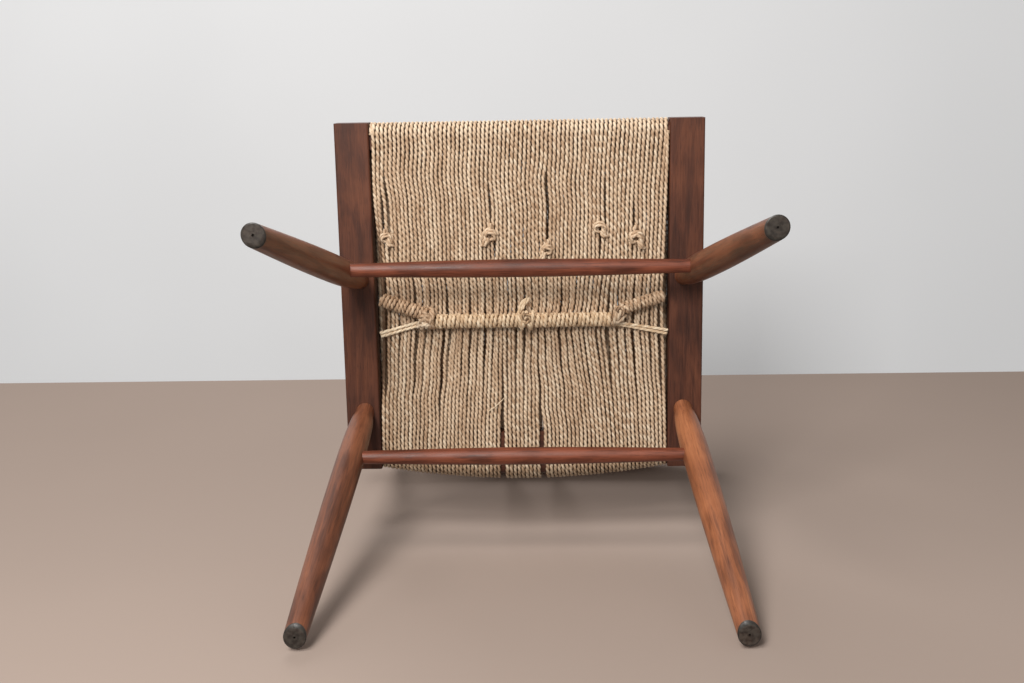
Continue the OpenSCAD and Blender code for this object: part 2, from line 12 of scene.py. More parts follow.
import bpy
import numpy as np
from mathutils import Matrix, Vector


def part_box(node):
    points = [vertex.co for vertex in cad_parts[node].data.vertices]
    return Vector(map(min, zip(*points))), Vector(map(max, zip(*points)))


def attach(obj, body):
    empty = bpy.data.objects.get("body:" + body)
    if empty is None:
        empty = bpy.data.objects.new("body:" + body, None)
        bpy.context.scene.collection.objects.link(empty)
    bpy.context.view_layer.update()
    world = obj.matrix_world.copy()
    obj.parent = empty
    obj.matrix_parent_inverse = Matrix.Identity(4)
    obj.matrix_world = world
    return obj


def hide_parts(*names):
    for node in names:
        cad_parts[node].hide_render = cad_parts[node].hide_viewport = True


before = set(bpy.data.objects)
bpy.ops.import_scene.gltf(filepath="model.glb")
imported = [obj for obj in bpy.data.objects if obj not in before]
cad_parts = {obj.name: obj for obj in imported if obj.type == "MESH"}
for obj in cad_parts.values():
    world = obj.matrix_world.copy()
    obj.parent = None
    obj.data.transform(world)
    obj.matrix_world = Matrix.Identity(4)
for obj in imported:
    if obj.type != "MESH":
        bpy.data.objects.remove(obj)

LOG = logging.getLogger("cord_seat_chair")
MM = 0.001
FULL = 2 * math.pi
ACROSS = np.array([1.0, 0.0, 0.0])
UP = np.array([0.0, 0.0, 1.0])
GRAIN_SHIFT = 3.7


def corners(node: str) -> np.ndarray:
    """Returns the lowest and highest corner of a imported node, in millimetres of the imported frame."""
    low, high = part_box(node)
    return np.array([list(low), list(high)]) / MM


@dataclass(frozen=True)
class Seat:
    """Sizes that the rails, bars, cords and tie share, in millimetres.

    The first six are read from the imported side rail, the others are driving sizes of the part.
    """

    inner_half: float
    outer_half: float
    half_length: float
    under_z: float
    top_z: float
    middle_y: float
    bar_thickness: float = 22.0
    bar_bow: float = 18.0
    cord: float = 4.55
    cord_fit: float = 0.15
    cord_step: float = 5.0
    cord_slot: float = 9.0
    spindle_gap: float = 58.8
    side_gap: float = 0.5

    @classmethod
    def from_frame(cls) -> "Seat":
        """Returns the seat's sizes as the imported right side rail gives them.

        Returns:
            The seat's sizes.
        """
        low, high = corners("side_rail_right")
        return cls(
            inner_half=low[0],
            outer_half=high[0],
            half_length=(high[1] - low[1]) / 2,
            under_z=low[2],
            top_z=high[2],
            middle_y=(high[1] + low[1]) / 2,
        )

    @property
    def bar_z(self) -> float:
        """Height of the bars' middle."""
        return (self.under_z + self.top_z) / 2

    @property
    def loop_r(self) -> float:
        """Radius of the cord's half turns round a bar, to the cord's centre."""
        return self.bar_thickness / 2 + self.cord_fit + self.cord / 2

    @property
    def nose_y(self) -> float:
        """Distance of a bar's outer edge from the seat's middle line, at the side rails."""
        return self.half_length - self.cord - self.cord_fit

    @property
    def front_y(self) -> float:
        """Place of the centre of the half turns round the front bar."""
        return -(self.nose_y - self.bar_thickness / 2)

    @property
    def lower_z(self) -> float:
        """Height of the lower runs' centres."""
        return self.bar_z - self.loop_r

    @property
    def cord_edge(self) -> float:
        """Half the width that the cords cover."""
        return self.inner_half - self.side_gap

    def rear_nose_y(self, x: np.ndarray) -> np.ndarray:
        """Returns the rear bar's outer edge: an arc through both side rails, bowed in the middle."""
        radius = (self.inner_half**2 + self.bar_bow**2) / (2 * self.bar_bow)
        return self.nose_y + np.sqrt(radius**2 - np.square(x)) - (radius - self.bar_bow)

    def rear_y(self, x: np.ndarray) -> np.ndarray:
        """Returns the place of the centre of the half turns round the rear bar."""
        return self.rear_nose_y(x) - self.bar_thickness / 2

    def to_frame(self, points: np.ndarray) -> np.ndarray:
        """Returns points of the seat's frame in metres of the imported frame."""
        return (np.asarray(points, float) + [0.0, self.middle_y, 0.0]) * MM


SEAT = Seat.from_frame()


class Value:
    """A node's output on which Python's operators add Math nodes."""

    def __init__(self, graph: "Graph", socket: bpy.types.NodeSocket) -> None:
        """Keeps the graph that the socket belongs to."""
        self.graph = graph
        self.socket = socket

    def _math(self, operation: str, *terms: object) -> "Value":
        """Returns the output of a Math node that works on the terms."""
        inputs = dict(enumerate(terms))
        return self.graph.add("ShaderNodeMath", {"operation": operation}, inputs)

    def __add__(self, other: object) -> "Value":
        """Returns self plus other."""
        return self._math("ADD", self, other)

    __radd__ = __add__

    def __sub__(self, other: object) -> "Value":
        """Returns self minus other."""
        return self._math("SUBTRACT", self, other)

    def __rsub__(self, other: object) -> "Value":
        """Returns other minus self."""
        return self._math("SUBTRACT", other, self)

    def __mul__(self, other: object) -> "Value":
        """Returns self times other."""
        return self._math("MULTIPLY", self, other)

    __rmul__ = __mul__

    def sine(self) -> "Value":
        """Returns the sine of self."""
        return self._math("SINE", self)

    def ramp(self, low: float, high: float, out_low: float = 0.0, out_high: float = 1.0) -> "Value":
        """Returns self carried from one range to another along an S curve, held at both ends.

        Args:
            low: where the range starts.
            high: where it ends.
            out_low: what its start is carried to.
            out_high: what its end is carried to.

        Returns:
            The carried value.
        """
        return self.graph.add(
            "ShaderNodeMapRange",
            {"interpolation_type": "SMOOTHSTEP"},
            {0: self, 1: low, 2: high, 3: out_low, 4: out_high},
        )


class Graph:
    """The node tree of one material, with a Principled shader at its end."""

    def __init__(self, name: str) -> None:
        """Makes an empty material of that name.

        Args:
            name: the material's name.
        """
        self.material = bpy.data.materials.new(name)
        self.material.use_nodes = True
        self.tree = self.material.node_tree
        self.tree.nodes.clear()
        self.end = self.tree.nodes.new("ShaderNodeOutputMaterial")

    def node(
        self, kind: str, settings: dict | None = None, inputs: dict | None = None
    ) -> bpy.types.Node:
        """Adds one node.

        Args:
            kind: the node's type.
            settings: its own properties, set first. A ramp's stops are given under "stops".
            inputs: a value or a Value for each socket, by name or number.

        Returns:
            The node.
        """
        node = self.tree.nodes.new(kind)
        for key, value in (settings or {}).items():
            if key == "stops":
                self._set_stops(node.color_ramp, value)
            else:
                setattr(node, key, value)
        for key, value in (inputs or {}).items():
            if isinstance(value, Value):
                self.tree.links.new(value.socket, node.inputs[key])
            else:
                node.inputs[key].default_value = value
        return node

    def add(
        self, kind: str, settings: dict | None = None, inputs: dict | None = None, output: int = 0
    ) -> Value:
        """Adds one node and returns one of its outputs as a Value."""
        return Value(self, self.node(kind, settings, inputs).outputs[output])

    @staticmethod
    def _set_stops(ramp: bpy.types.ColorRamp, stops: tuple) -> None:
        """Gives a colour ramp its stops, each a place and a colour.

        Args:
            ramp: the colour ramp.
            stops: the place and the colour of each stop.
        """
        while len(ramp.elements) < len(stops):
            ramp.elements.new(1.0)
        for element, (place, colour) in zip(ramp.elements, stops):
            element.position = place
            element.color = (*colour, 1.0)

    def mix(self, factor: object, first: object, second: object) -> Value:
        """Returns two colours mixed by a factor."""
        inputs = {0: factor, 6: rgba(first), 7: rgba(second)}
        return self.add("ShaderNodeMix", {"data_type": "RGBA"}, inputs, output=2)

    def ramp(self, tone: Value, *stops: tuple) -> Value:
        """Returns a colour ramp's colour at a tone. Each stop is a place and a colour."""
        return self.add("ShaderNodeValToRGB", {"stops": stops}, {0: tone})

    def noise(self, vector: Value, scale: float, detail: float = 3.0, distortion: float = 0.0) -> Value:
        """Returns fractal noise at a vector, about one half on average."""
        inputs = {"Vector": vector, "Scale": scale, "Detail": detail, "Distortion": distortion}
        return self.add("ShaderNodeTexNoise", {}, inputs)

    def attribute(self, name: str, output: int = 1) -> Value:
        """Returns a mesh attribute: as a vector with output 1, as a number with output 2."""
        return self.add("ShaderNodeAttribute", {"attribute_name": name}, output=output)

    def object_place(self) -> Value:
        """Returns the place on the object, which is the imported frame's place in metres."""
        return self.add("ShaderNodeTexCoord", output=3)

    def vector(self, operation: str, inputs: dict, output: int = 0) -> Value:
        """Returns an output of a Vector Math node."""
        return self.add("ShaderNodeVectorMath", {"operation": operation}, inputs, output)

    def squeezed(self, place: Value, axis: tuple, share: float) -> Value:
        """Returns a place with its part along an axis shortened, which stretches a pattern.

        Args:
            place: the place at which a pattern is read.
            axis: a direction of length one.
            share: what share of the part along the axis stays.

        Returns:
            The shortened place.
        """
        length = self.vector("DOT_PRODUCT", {0: place, 1: axis}, output=1)
        shift = self.vector("SCALE", {0: axis, "Scale": length * (1.0 - share)})
        return self.vector("SUBTRACT", {0: place, 1: shift})

    def bump(self, height: Value, strength: float, distance: float) -> Value:
        """Returns the normal bent by a height, which is given in shares of the distance."""
        inputs = {"Strength": strength, "Distance": distance, "Height": height}
        return self.add("ShaderNodeBump", {}, inputs)

    def principled(self, inputs: dict) -> bpy.types.Material:
        """Ends the tree with a Principled shader and returns the material.

        Args:
            inputs: a value or a Value for each of the shader's sockets, by name.

        Returns:
            The material.
        """
        shader = self.node("ShaderNodeBsdfPrincipled", {}, inputs)
        self.tree.links.new(shader.outputs[0], self.end.inputs[0])
        return self.material


def rgba(colour: object) -> object:
    """Returns a colour of three numbers with an alpha of 1, and anything else as it is."""
    return (*colour, 1.0) if isinstance(colour, tuple) and len(colour) == 3 else colour


@dataclass(frozen=True)
class Walnut:
    """Oiled walnut with its grain along one axis.

    Each scale says how fine a pattern is. The shares shorten a place along the grain, so that the
    fibres and the bands of colour run long. The foot's colours are those of a leg's worn end.
    """

    name: str
    dark: tuple
    middle: tuple
    light: tuple
    roughness: float
    sheen: float = 0.3
    band_scale: float = 55.0
    band_share: float = 0.12
    rings_per_band: float = 26.0
    fibre_scale: float = 620.0
    fibre_share: float = 0.045
    pore_scale: float = 1500.0
    patch_scale: float = 14.0
    wear_scale: float = 240.0
    foot_dark: tuple = (0.021, 0.019, 0.016)
    foot_pale: tuple = (0.050, 0.044, 0.036)
    foot_rim: tuple = (0.014, 0.009, 0.007)

    def material(self, label: str, axis: tuple | None = None) -> bpy.types.Material:
        """Makes the material of one piece.

        Args:
            label: the piece's name.
            axis: the grain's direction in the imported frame. Without one, the piece's own attribute
                grain_point is read, whose third number runs along the piece.

        Returns:
            The material.
        """
        graph = Graph(f"{self.name}_{label}")
        place = graph.attribute("grain_point") if axis is None else graph.object_place()
        axis = axis or tuple(UP)
        long_fibre = graph.squeezed(place, axis, self.fibre_share)
        long_band = graph.squeezed(place, axis, self.band_share)
        bands = graph.noise(long_band, self.band_scale, 3.0, 1.4)
        rings = (bands * self.rings_per_band).sine().ramp(-1.0, 1.0)
        fibre = graph.noise(long_fibre, self.fibre_scale, 4.0, 0.2)
        pore = graph.noise(long_fibre, self.pore_scale, 1.0).ramp(0.60, 0.70)
        patch = graph.noise(place, self.patch_scale, 2.0).ramp(0.3, 0.7)
        tone = bands.ramp(0.25, 0.75) * 0.34 + rings * 0.1 + (fibre - 0.5) * 0.7 + patch * 0.3 + 0.1
        colour = graph.ramp(tone, (0.08, self.dark), (0.48, self.middle), (0.92, self.light))
        colour = graph.mix(pore * 0.45, colour, tuple(0.45 * part for part in self.dark))
        return graph.principled(
            {
                "Base Color": self._with_foot(graph, place, colour),
                "Roughness": fibre.ramp(0.3, 0.7, self.roughness - 0.05, self.roughness + 0.09),
                "Normal": graph.bump(fibre * 0.6 - pore * 0.8, 0.22, 0.0003),
                "Specular IOR Level": self.sheen,
            }
        )

    def _with_foot(self, graph: Graph, place: Value, colour: Value) -> Value:
        """Returns the wood's colour with the worn foot in it.

        The attribute end_face is 1 on the foot's flat and 2 on its rim, and nothing elsewhere.

        Args:
            graph: the material's nodes.
            place: the place at which the wear is read.
            colour: the colour of the wood elsewhere.

        Returns:
            The colour of all of the piece.
        """
        end = graph.attribute("end_face", output=2)
        worn = graph.noise(place, self.wear_scale, 3.0).ramp(0.35, 0.65)
        face = graph.mix(worn, self.foot_dark, self.foot_pale)
        face = graph.mix(end.ramp(1.0, 2.0) * 0.85, face, self.foot_rim)
        return graph.mix(end * 0.92, colour, face)


@dataclass(frozen=True)
class Twine:
    """Twisted plant fibre cord. Its colour is set by strand, by place along the cord and by fibre."""

    name: str
    pale: tuple
    middle: tuple
    tan: tuple
    # Colour of the painted shade in the grooves between the strands, which also stands for some dirt
    # there.
    groove: tuple
    roughness: float = 0.62
    fibre_scale: float = 1.9
    fine_scale: float = 5.2
    fibre_share: float = 0.035
    blotch_scale: float = 0.16
    blotch_share: float = 0.25

    def material(self) -> bpy.types.Material:
        """Makes the material. It reads the attributes cord_point, tint and groove of the mesh.

        Returns:
            The material.
        """
        graph = Graph(self.name)
        place = graph.attribute("cord_point")
        tint = graph.attribute("tint", output=2)
        # Painted shade: the groove shade attribute says how far the colour is darkened, in the strands'
        # grooves (with some dirt), on the cord's sides and on the sunk runs.
        groove = graph.attribute("groove", output=2)
        fibre_place = graph.squeezed(place, tuple(UP), self.fibre_share)
        blotch_place = graph.squeezed(place, tuple(UP), self.blotch_share)
        fibre = graph.noise(fibre_place, self.fibre_scale, 4.0, 0.3)
        fine = graph.noise(fibre_place, self.fine_scale, 2.0, 0.1)
        blotch = graph.noise(blotch_place, self.blotch_scale, 2.0)
        tone = tint * 0.62 + (fibre - 0.5) * 1.25 + (fine - 0.5) * 0.7 + (blotch - 0.5) * 0.9 + 0.2
        colour = graph.ramp(tone, (0.05, self.tan), (0.5, self.middle), (0.95, self.pale))
        return graph.principled(
            {
                # Painted shade: the colour is mixed towards the groove shade colour.
                "Base Color": graph.mix(groove.ramp(0.3, 0.95) * 0.86, colour, self.groove),
                "Roughness": fibre.ramp(0.3, 0.7, self.roughness - 0.08, self.roughness + 0.12),
                "Normal": graph.bump(fibre * 0.7 + fine * 0.5, 0.55, 0.0006),
                "Specular IOR Level": 0.25,
            }
        )


RAIL_WOOD = Walnut(
    "walnut_rail",
    dark=(0.040, 0.015, 0.010),
    middle=(0.085, 0.028, 0.015),
    light=(0.145, 0.048, 0.023),
    roughness=0.46,
)
LEG_WOOD = Walnut(
    "walnut_leg",
    dark=(0.045, 0.014, 0.007),
    middle=(0.145, 0.046, 0.020),
    light=(0.27, 0.094, 0.042),
    roughness=0.40,
    sheen=0.6,
)
PALE_LEG_WOOD = Walnut(
    "walnut_pale_leg",
    dark=(0.10, 0.031, 0.013),
    middle=(0.28, 0.095, 0.038),
    light=(0.44, 0.165, 0.068),
    roughness=0.42,
    sheen=0.6,
)
RUNG_WOOD = Walnut(
    "walnut_rung",
    dark=(0.046, 0.011, 0.005),
    middle=(0.15, 0.037, 0.016),
    light=(0.25, 0.066, 0.030),
    roughness=0.46,
    sheen=0.4,
)
SEAT_TWINE = Twine(
    "seat_twine",
    pale=(0.79, 0.64, 0.475),
    middle=(0.60, 0.427, 0.284),
    tan=(0.385, 0.238, 0.14),
    groove=(0.075, 0.036, 0.018),
)
PALE_TWINE = Twine(
    "pale_twine",
    pale=(0.90, 0.74, 0.54),
    middle=(0.70, 0.51, 0.33),
    tan=(0.46, 0.29, 0.16),
    groove=(0.11, 0.055, 0.028),
)


class Skin:
    """Collects the surfaces of one piece, in millimetres of the seat's frame."""

    def __init__(self) -> None:
        """Starts without points or faces."""
        self.points: list[np.ndarray] = []
        self.faces: list[np.ndarray] = []
        self.values: dict[str, list[np.ndarray]] = {}
        self.count = 0

    def _add(self, points: np.ndarray, faces: list[np.ndarray], values: dict[str, np.ndarray]) -> None:
        """Adds points, their faces and one value of each name to every point.

        Args:
            points: the new points.
            faces: arrays of faces, each face as the numbers of its new points.
            values: for each attribute, its value at every new point.
        """
        self.points.append(points)
        self.faces.extend(f + self.count for f in faces)
        for name, value in values.items():
            self.values.setdefault(name, []).append(value)
        self.count += len(points)

    def add_tube(self, grid: np.ndarray, values: dict[str, np.ndarray]) -> None:
        """Adds a closed tube with a flat cap at each end.

        Ring i and its neighbour i + 1 are joined by quads, side j to j + 1, the last side to the
        first. Each cap is a fan from the middle of its ring.

        Args:
            grid: points by ring and side, turning right-handed about the way along the tube.
            values: for each attribute, its value by ring and side.
        """
        rings, sides = grid.shape[:2]
        ring = np.arange(rings - 1)[:, None] * sides
        side = np.arange(sides)[None, :]
        after = (side + 1) % sides
        above = ring + sides
        quads = np.stack([ring + side, ring + after, above + after, above + side], axis=-1)
        middles = rings * sides + np.arange(2)
        first = np.stack([np.full(sides, middles[0]), after[0], side[0]], axis=-1)
        top = (rings - 1) * sides
        last = np.stack([np.full(sides, middles[1]), top + side[0], top + after[0]], axis=-1)
        ends = np.array([grid[0].mean(axis=0), grid[-1].mean(axis=0)])
        flat = {}
        for name, value in values.items():
            ending = np.array([value[0].mean(axis=0), value[-1].mean(axis=0)])
            flat[name] = np.concatenate([value.reshape(rings * sides, -1), ending.reshape(2, -1)])
        points = np.concatenate([grid.reshape(-1, 3), ends])
        self._add(points, [quads.reshape(-1, 4), first, last], flat)

    def build(self, name: str) -> bpy.types.Object:
        """Makes the object of this piece, smooth shaded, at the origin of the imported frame.

        Args:
            name: the object's name.

        Returns:
            The object, linked to the scene.
        """
        points = SEAT.to_frame(np.concatenate(self.points))
        sizes = np.concatenate([np.full(len(f), f.shape[1]) for f in self.faces])
        loops = np.concatenate([f.reshape(-1) for f in self.faces])
        mesh = bpy.data.meshes.new(name)
        mesh.vertices.add(len(points))
        mesh.vertices.foreach_set("co", points.reshape(-1).astype(np.float32))
        mesh.loops.add(len(loops))
        mesh.loops.foreach_set("vertex_index", loops.astype(np.int32))
        mesh.polygons.add(len(sizes))
        mesh.polygons.foreach_set("loop_start", (np.cumsum(sizes) - sizes).astype(np.int32))
        mesh.polygons.foreach_set("use_smooth", np.ones(len(sizes), bool))
        mesh.update(calc_edges=True)
        for key, parts in self.values.items():
            value = np.concatenate(parts).astype(np.float32)
            kind = "FLOAT_VECTOR" if value.shape[1] == 3 else "FLOAT"
            target = mesh.attributes.new(key, kind, "POINT")
            target.data.foreach_set("vector" if kind == "FLOAT_VECTOR" else "value", value.reshape(-1))
        mesh.validate()
        piece = bpy.data.objects.new(name, mesh)
        bpy.context.scene.collection.objects.link(piece)
        return piece


def unit(vectors: np.ndarray) -> np.ndarray:
    """Returns vectors scaled to length one."""
    return vectors / np.linalg.norm(vectors, axis=-1, keepdims=True)


def wander(along: np.ndarray, waves: tuple, rng: np.random.Generator) -> np.ndarray:
    """Returns a smooth random value along a line, about as often above zero as below.

    It is the sum of one sine for each wavelength, each with its own random start, over the square
    root of their count.

    Args:
        along: places along the line, as distances or angles.
        waves: the wavelengths, in the same measure.
        rng: where the random starts come from.

    Returns:
        The value at each place.
    """
    starts = rng.uniform(0, FULL, len(waves))
    total = sum(np.sin(FULL * along / wave + start) for wave, start in zip(waves, starts))
    return total / math.sqrt(len(waves))


def arc_length(path: np.ndarray) -> np.ndarray:
    """Returns the distance along a path at each of its points."""
    steps = np.linalg.norm(np.diff(path, axis=0), axis=1)
    return np.concatenate([[0.0], np.cumsum(steps)])


def even(path: np.ndarray, step: float) -> np.ndarray:
    """Returns a path with points at even steps along it.

    Args:
        path: the points of the path.
        step: the wanted distance between neighbouring points.

    Returns:
        The new points, from the path's first one to its last.
    """
    along = arc_length(path)
    count = max(3, int(round(along[-1] / step)) + 1)
    places = np.linspace(0, along[-1], count)
    return np.stack([np.interp(places, along, path[:, i]) for i in range(3)], axis=1)


def smooth_path(knots: list, step: float) -> np.ndarray:
    """Returns a smooth path through a few points.

    Between two points it is a cubic that leaves each along the line between that point's own
    neighbours, so that neighbouring stretches join without a bend.

    Args:
        knots: the points that the path goes through.
        step: the wanted distance between the points of the result.

    Returns:
        The points of the path.
    """
    p = np.array(knots, float)
    p = np.concatenate([2 * p[:1] - p[1:2], p, 2 * p[-1:] - p[-2:-1]])
    t = np.linspace(0, 1, 24, endpoint=False)[:, None]
    parts = []
    for a, b, c, d in zip(p[:-3], p[1:-2], p[2:-1], p[3:]):
        square = 2 * a - 5 * b + 4 * c - d
        cube = 3 * b - a - 3 * c + d
        parts.append(0.5 * (2 * b + (c - a) * t + square * t**2 + cube * t**3))
    return even(np.concatenate([*parts, p[-2:-1]]), step)


def wobbled(path: np.ndarray, size: float, waves: tuple, rng: np.random.Generator) -> np.ndarray:
    """Returns a path moved a little off its way by a smooth random amount in each direction."""
    along = arc_length(path)
    return path + size * np.stack([wander(along, waves, rng) for _ in range(3)], axis=1)


@dataclass
class Cord:
    """A two-strand twisted cord.

    Its lay is the length in which the strands go round once, and a hand of -1 makes the twist
    left-handed. The waist is the strands' distance from the middle as a share of its radius. The
    crevice shade says how dark the painted shade on its two sides towards the neighbours is, and
    the groove shade share how dark the groove between the strands is painted, partly as dirt and
    partly as painted shade. The waves are the lengths over which the lay, the size, how pale it is
    and how unlike its two strands are change along it.
    """

    LAY_DRIFT = 0.1
    LAY_WAVES = (1530.0, 690.0, 190.0, 71.0)
    SIZE_WAVES = (811.0, 97.0, 43.0)
    PALE_WAVES = (310.0, 143.0, 67.0)
    SIDE_WAVES = (230.0, 89.0)

    diameter: float = 5.25
    lay: float = 15.2
    sides: int = 8
    hand: float = -1.0
    unevenness: float = 0.06
    waist: float = 0.25
    # Painted shade: crevice shade on the sides towards the neighbours, groove shade in the grooves
    # between the strands.
    crevice: float = 0.0
    groove_share: float = 0.6
    rng: np.random.Generator = field(default_factory=lambda: np.random.default_rng(1))

    def add(
        self,
        skin: Skin,
        path: np.ndarray,
        across: np.ndarray,
        tint: np.ndarray | float = 0.5,
        fullness: np.ndarray | float = 0.0,
    ) -> None:
        """Adds a twisted cord along a path.

        Each cross-section is the outline of two round strands side by side. At an angle from the
        strands' line its radius is c times the angle's cosine plus the root of a squared less c
        squared times the angle's sine squared, where c is the strands' distance from the middle
        and a is their radius. The outline turns once in a lay along the path.

        Args:
            skin: what the cord is added to.
            path: its centre line, at even steps.
            across: the direction in which its neighbours lie, or any that is never along the path,
            for each point or one for all. Where it has crevice shade, the cord gets painted
            shade on the two sides that face its neighbours.
            tint: how pale the cord is, by point or for all of it. Below nothing it is also painted
            as dark as its grooves; on the seat's sunk runs that is painted shade.
            fullness: from 0 to 1, how far the strands are pressed into one round cord, by point or
                for all of it. A full cord is also a little wider.
        """
        along = arc_length(path)
        way = unit(np.gradient(path, axis=0))
        across = np.broadcast_to(across, path.shape)
        second = unit(across - (across * way).sum(axis=1, keepdims=True) * way)
        first = np.cross(second, way)
        lay = self.lay * (1 + self.LAY_DRIFT * wander(along, self.LAY_WAVES, self.rng))
        turn = np.concatenate([[0.0], np.cumsum(np.diff(along) * FULL / lay[1:])])
        turn = self.hand * (turn + self.rng.uniform(0, FULL))
        full = np.broadcast_to(fullness, along.shape)
        size = 1 + self.unevenness * wander(along, self.SIZE_WAVES, self.rng)
        size = self.diameter / 2 * size * (1 + 0.2 * full)
        angle = FULL * np.arange(self.sides) / self.sides
        offset = (self.waist * (1 - 0.5 * full))[:, None]
        strand = 1 - offset
        share = offset * np.abs(np.cos(angle)) + np.sqrt(strand**2 - (offset * np.sin(angle)) ** 2)
        radius = size[:, None] * share
        bearing = angle + turn[:, None]
        spoke = np.cos(bearing)[..., None] * first[:, None, :]
        spoke = spoke + np.sin(bearing)[..., None] * second[:, None, :]
        grid = path[:, None, :] + radius[..., None] * spoke
        start = self.rng.uniform(0, 9000)
        place = np.broadcast_to((along + start)[:, None], radius.shape)
        local = np.stack([radius * np.cos(angle), radius * np.sin(angle), place], axis=-1)
        pale = np.broadcast_to(tint, along.shape) + 0.16 * wander(along, self.PALE_WAVES, self.rng)
        side_tone = 0.17 * self.rng.normal() + 0.12 * wander(along, self.SIDE_WAVES, self.rng)
        by_strand = np.clip(pale[:, None] + side_tone[:, None] * np.cos(angle), 0, 1)
        # Painted shade, darkening towards the groove shade colour: in the groove between the strands,
        # partly as dirt; on the sides towards the neighbours; and where the tint is below nothing.
        groove = self.groove_share * (1 - share) / (1 - np.sqrt(strand**2 - offset**2))
        crevice = self.crevice * np.abs(np.sin(bearing)) ** 6
        dark_from_tint = np.clip(-pale, 0, 1)[:, None]
        groove = np.clip(groove + crevice + dark_from_tint, 0, 1)
        values = {"cord_point": local, "tint": by_strand[..., None], "groove": groove[..., None]}
        skin.add_tube(grid, values)


@dataclass(frozen=True)
class Gap:
    """A place where two neighbouring lower runs stand apart."""

    x: float
    y_from: float
    y_to: float
    width: float
    fade: float = 22.0

    def opening(self, y: np.ndarray) -> np.ndarray:
        """Returns the gap's width at places y. It opens and closes along an S curve.

        Args:
            y: places along the seat.

        Returns:
            The width at each place.
        """
        rise = 1 / (1 + np.exp(-(y - self.y_from) / (self.fade / 4)))
        fall = 1 / (1 + np.exp((y - self.y_to) / (self.fade / 4)))
        return self.width * rise * fall


@dataclass(frozen=True)
class Knot:
    """A knot that joins two lengths of cord on a lower run, with the place of its middle."""

    STRANDS = (
        ((-7, 9, 0.5), (-7.8, 2, 3), (-4.5, -5.5, 4.6), (2, -7.2, 5), (8, -4, 3.6), (9.5, 1, 1)),
        ((-5, 4, 3), (-3.5, -2, 6), (2, -3.4, 7), (7, 0, 6), (6, 5, 4), (1, 6.5, 2)),
        ((2.4, -15, 0.6), (2.8, -11, 2.4), (2.2, -6, 2)),
        ((-4.5, 1, 4.6), (-5.5, 7, 5.4), (-8, 12, 4), (-10, 14.5, 1.8)),
        ((-1, 4, 4.6), (-3, 10, 5.6), (-5.6, 14.5, 4)),
    )

    run: int
    x: float
    y: float
    size: float = 1.0
    mirrored: bool = False

    def add(self, skin: Skin, rng: np.random.Generator) -> None:
        """Adds the knot's strands: two loops over each other, a stub and two cut ends.

        Args:
            skin: what the strands are added to.
            rng: where its unevenness comes from.
        """
        size = np.array([-self.size if self.mirrored else self.size, self.size, -self.size])
        middle = np.array([self.x, self.y, SEAT.lower_z - 2.0])
        for strand in self.STRANDS:
            line = smooth_path([middle + size * point for point in strand], 1.1)
            line = wobbled(line, 0.4, (17.0, 9.0), rng)
            cord = Cord(diameter=5.0 * self.size, lay=15.0, rng=rng, unevenness=0.1)
            cord.add(skin, line, UP)


@dataclass(frozen=True)
class Splice:
    """A place under the tie where one length of cord ends against the next one."""

    run: int
    y: float


@dataclass(frozen=True)
class Bay:
    """The cords between two neighbouring slots or rails."""

    name: str
    low_x: float
    high_x: float
    before: int
    seed: int
    joins: tuple = ()

    @property
    def turns(self) -> int:
        """Number of turns, as the part winds them."""
        return int((self.high_x - self.low_x - SEAT.cord) / SEAT.cord_step)

    def rear_x(self, turn: float) -> float:
        """Returns the place of a turn at the rear bar, where the turns fill the bay evenly."""
        low = self.low_x + SEAT.cord / 2
        return low + (self.high_x - low - SEAT.cord / 2) * turn / (self.turns - 1)


GAPS = (
    Gap(-183, -140, -84, 2.6),
    Gap(-184, -40, 126, 3.0),
    Gap(-175, -158, -60, 2.4),
    Gap(-166, -110, -30, 1.2),
    Gap(34.0, -166, -76, 2.6, 12),
    Gap(-41, -150, -108, 1.6, 14),
    Gap(-36, -92, -60, 1.8, 12),
    Gap(104, -104, -60, 2.0, 14),
    Gap(108, -150, -100, 1.4),
    Gap(145, -120, -60, 2.0),
    Gap(188, 10, 120, 1.6),
    Gap(-176, 34, 80, 0.6),
    Gap(-163, 34, 96, 0.9),
    Gap(-153, 34, 92, 0.7),
    Gap(-143, 34, 90, 0.6),
    Gap(-128, 34, 72, 0.5),
    Gap(-111.5, 30, 150, 2.3),
    Gap(-102, 34, 92, 0.5),
    Gap(-82, 34, 110, 0.6),
    Gap(-68, 34, 86, 0.5),
    Gap(-60, 34, 92, 0.6),
    Gap(-51.5, 34, 80, 0.5),
    Gap(52, 34, 120, 0.7),
    Gap(66, 30, 100, 0.9),
    Gap(82, 34, 92, 0.8),
    Gap(92.6, 30, 130, 0.9),
    Gap(101.6, 34, 84, 0.8),
    Gap(112, 30, 98, 0.8),
    Gap(122, 34, 116, 1.0),
    Gap(138.6, 30, 80, 0.6),
    Gap(146, 34, 74, 0.5),
    Gap(161, 34, 96, 0.6),
    Gap(168.6, 34, 84, 0.5),
    Gap(175.6, 30, 80, 0.6),
)


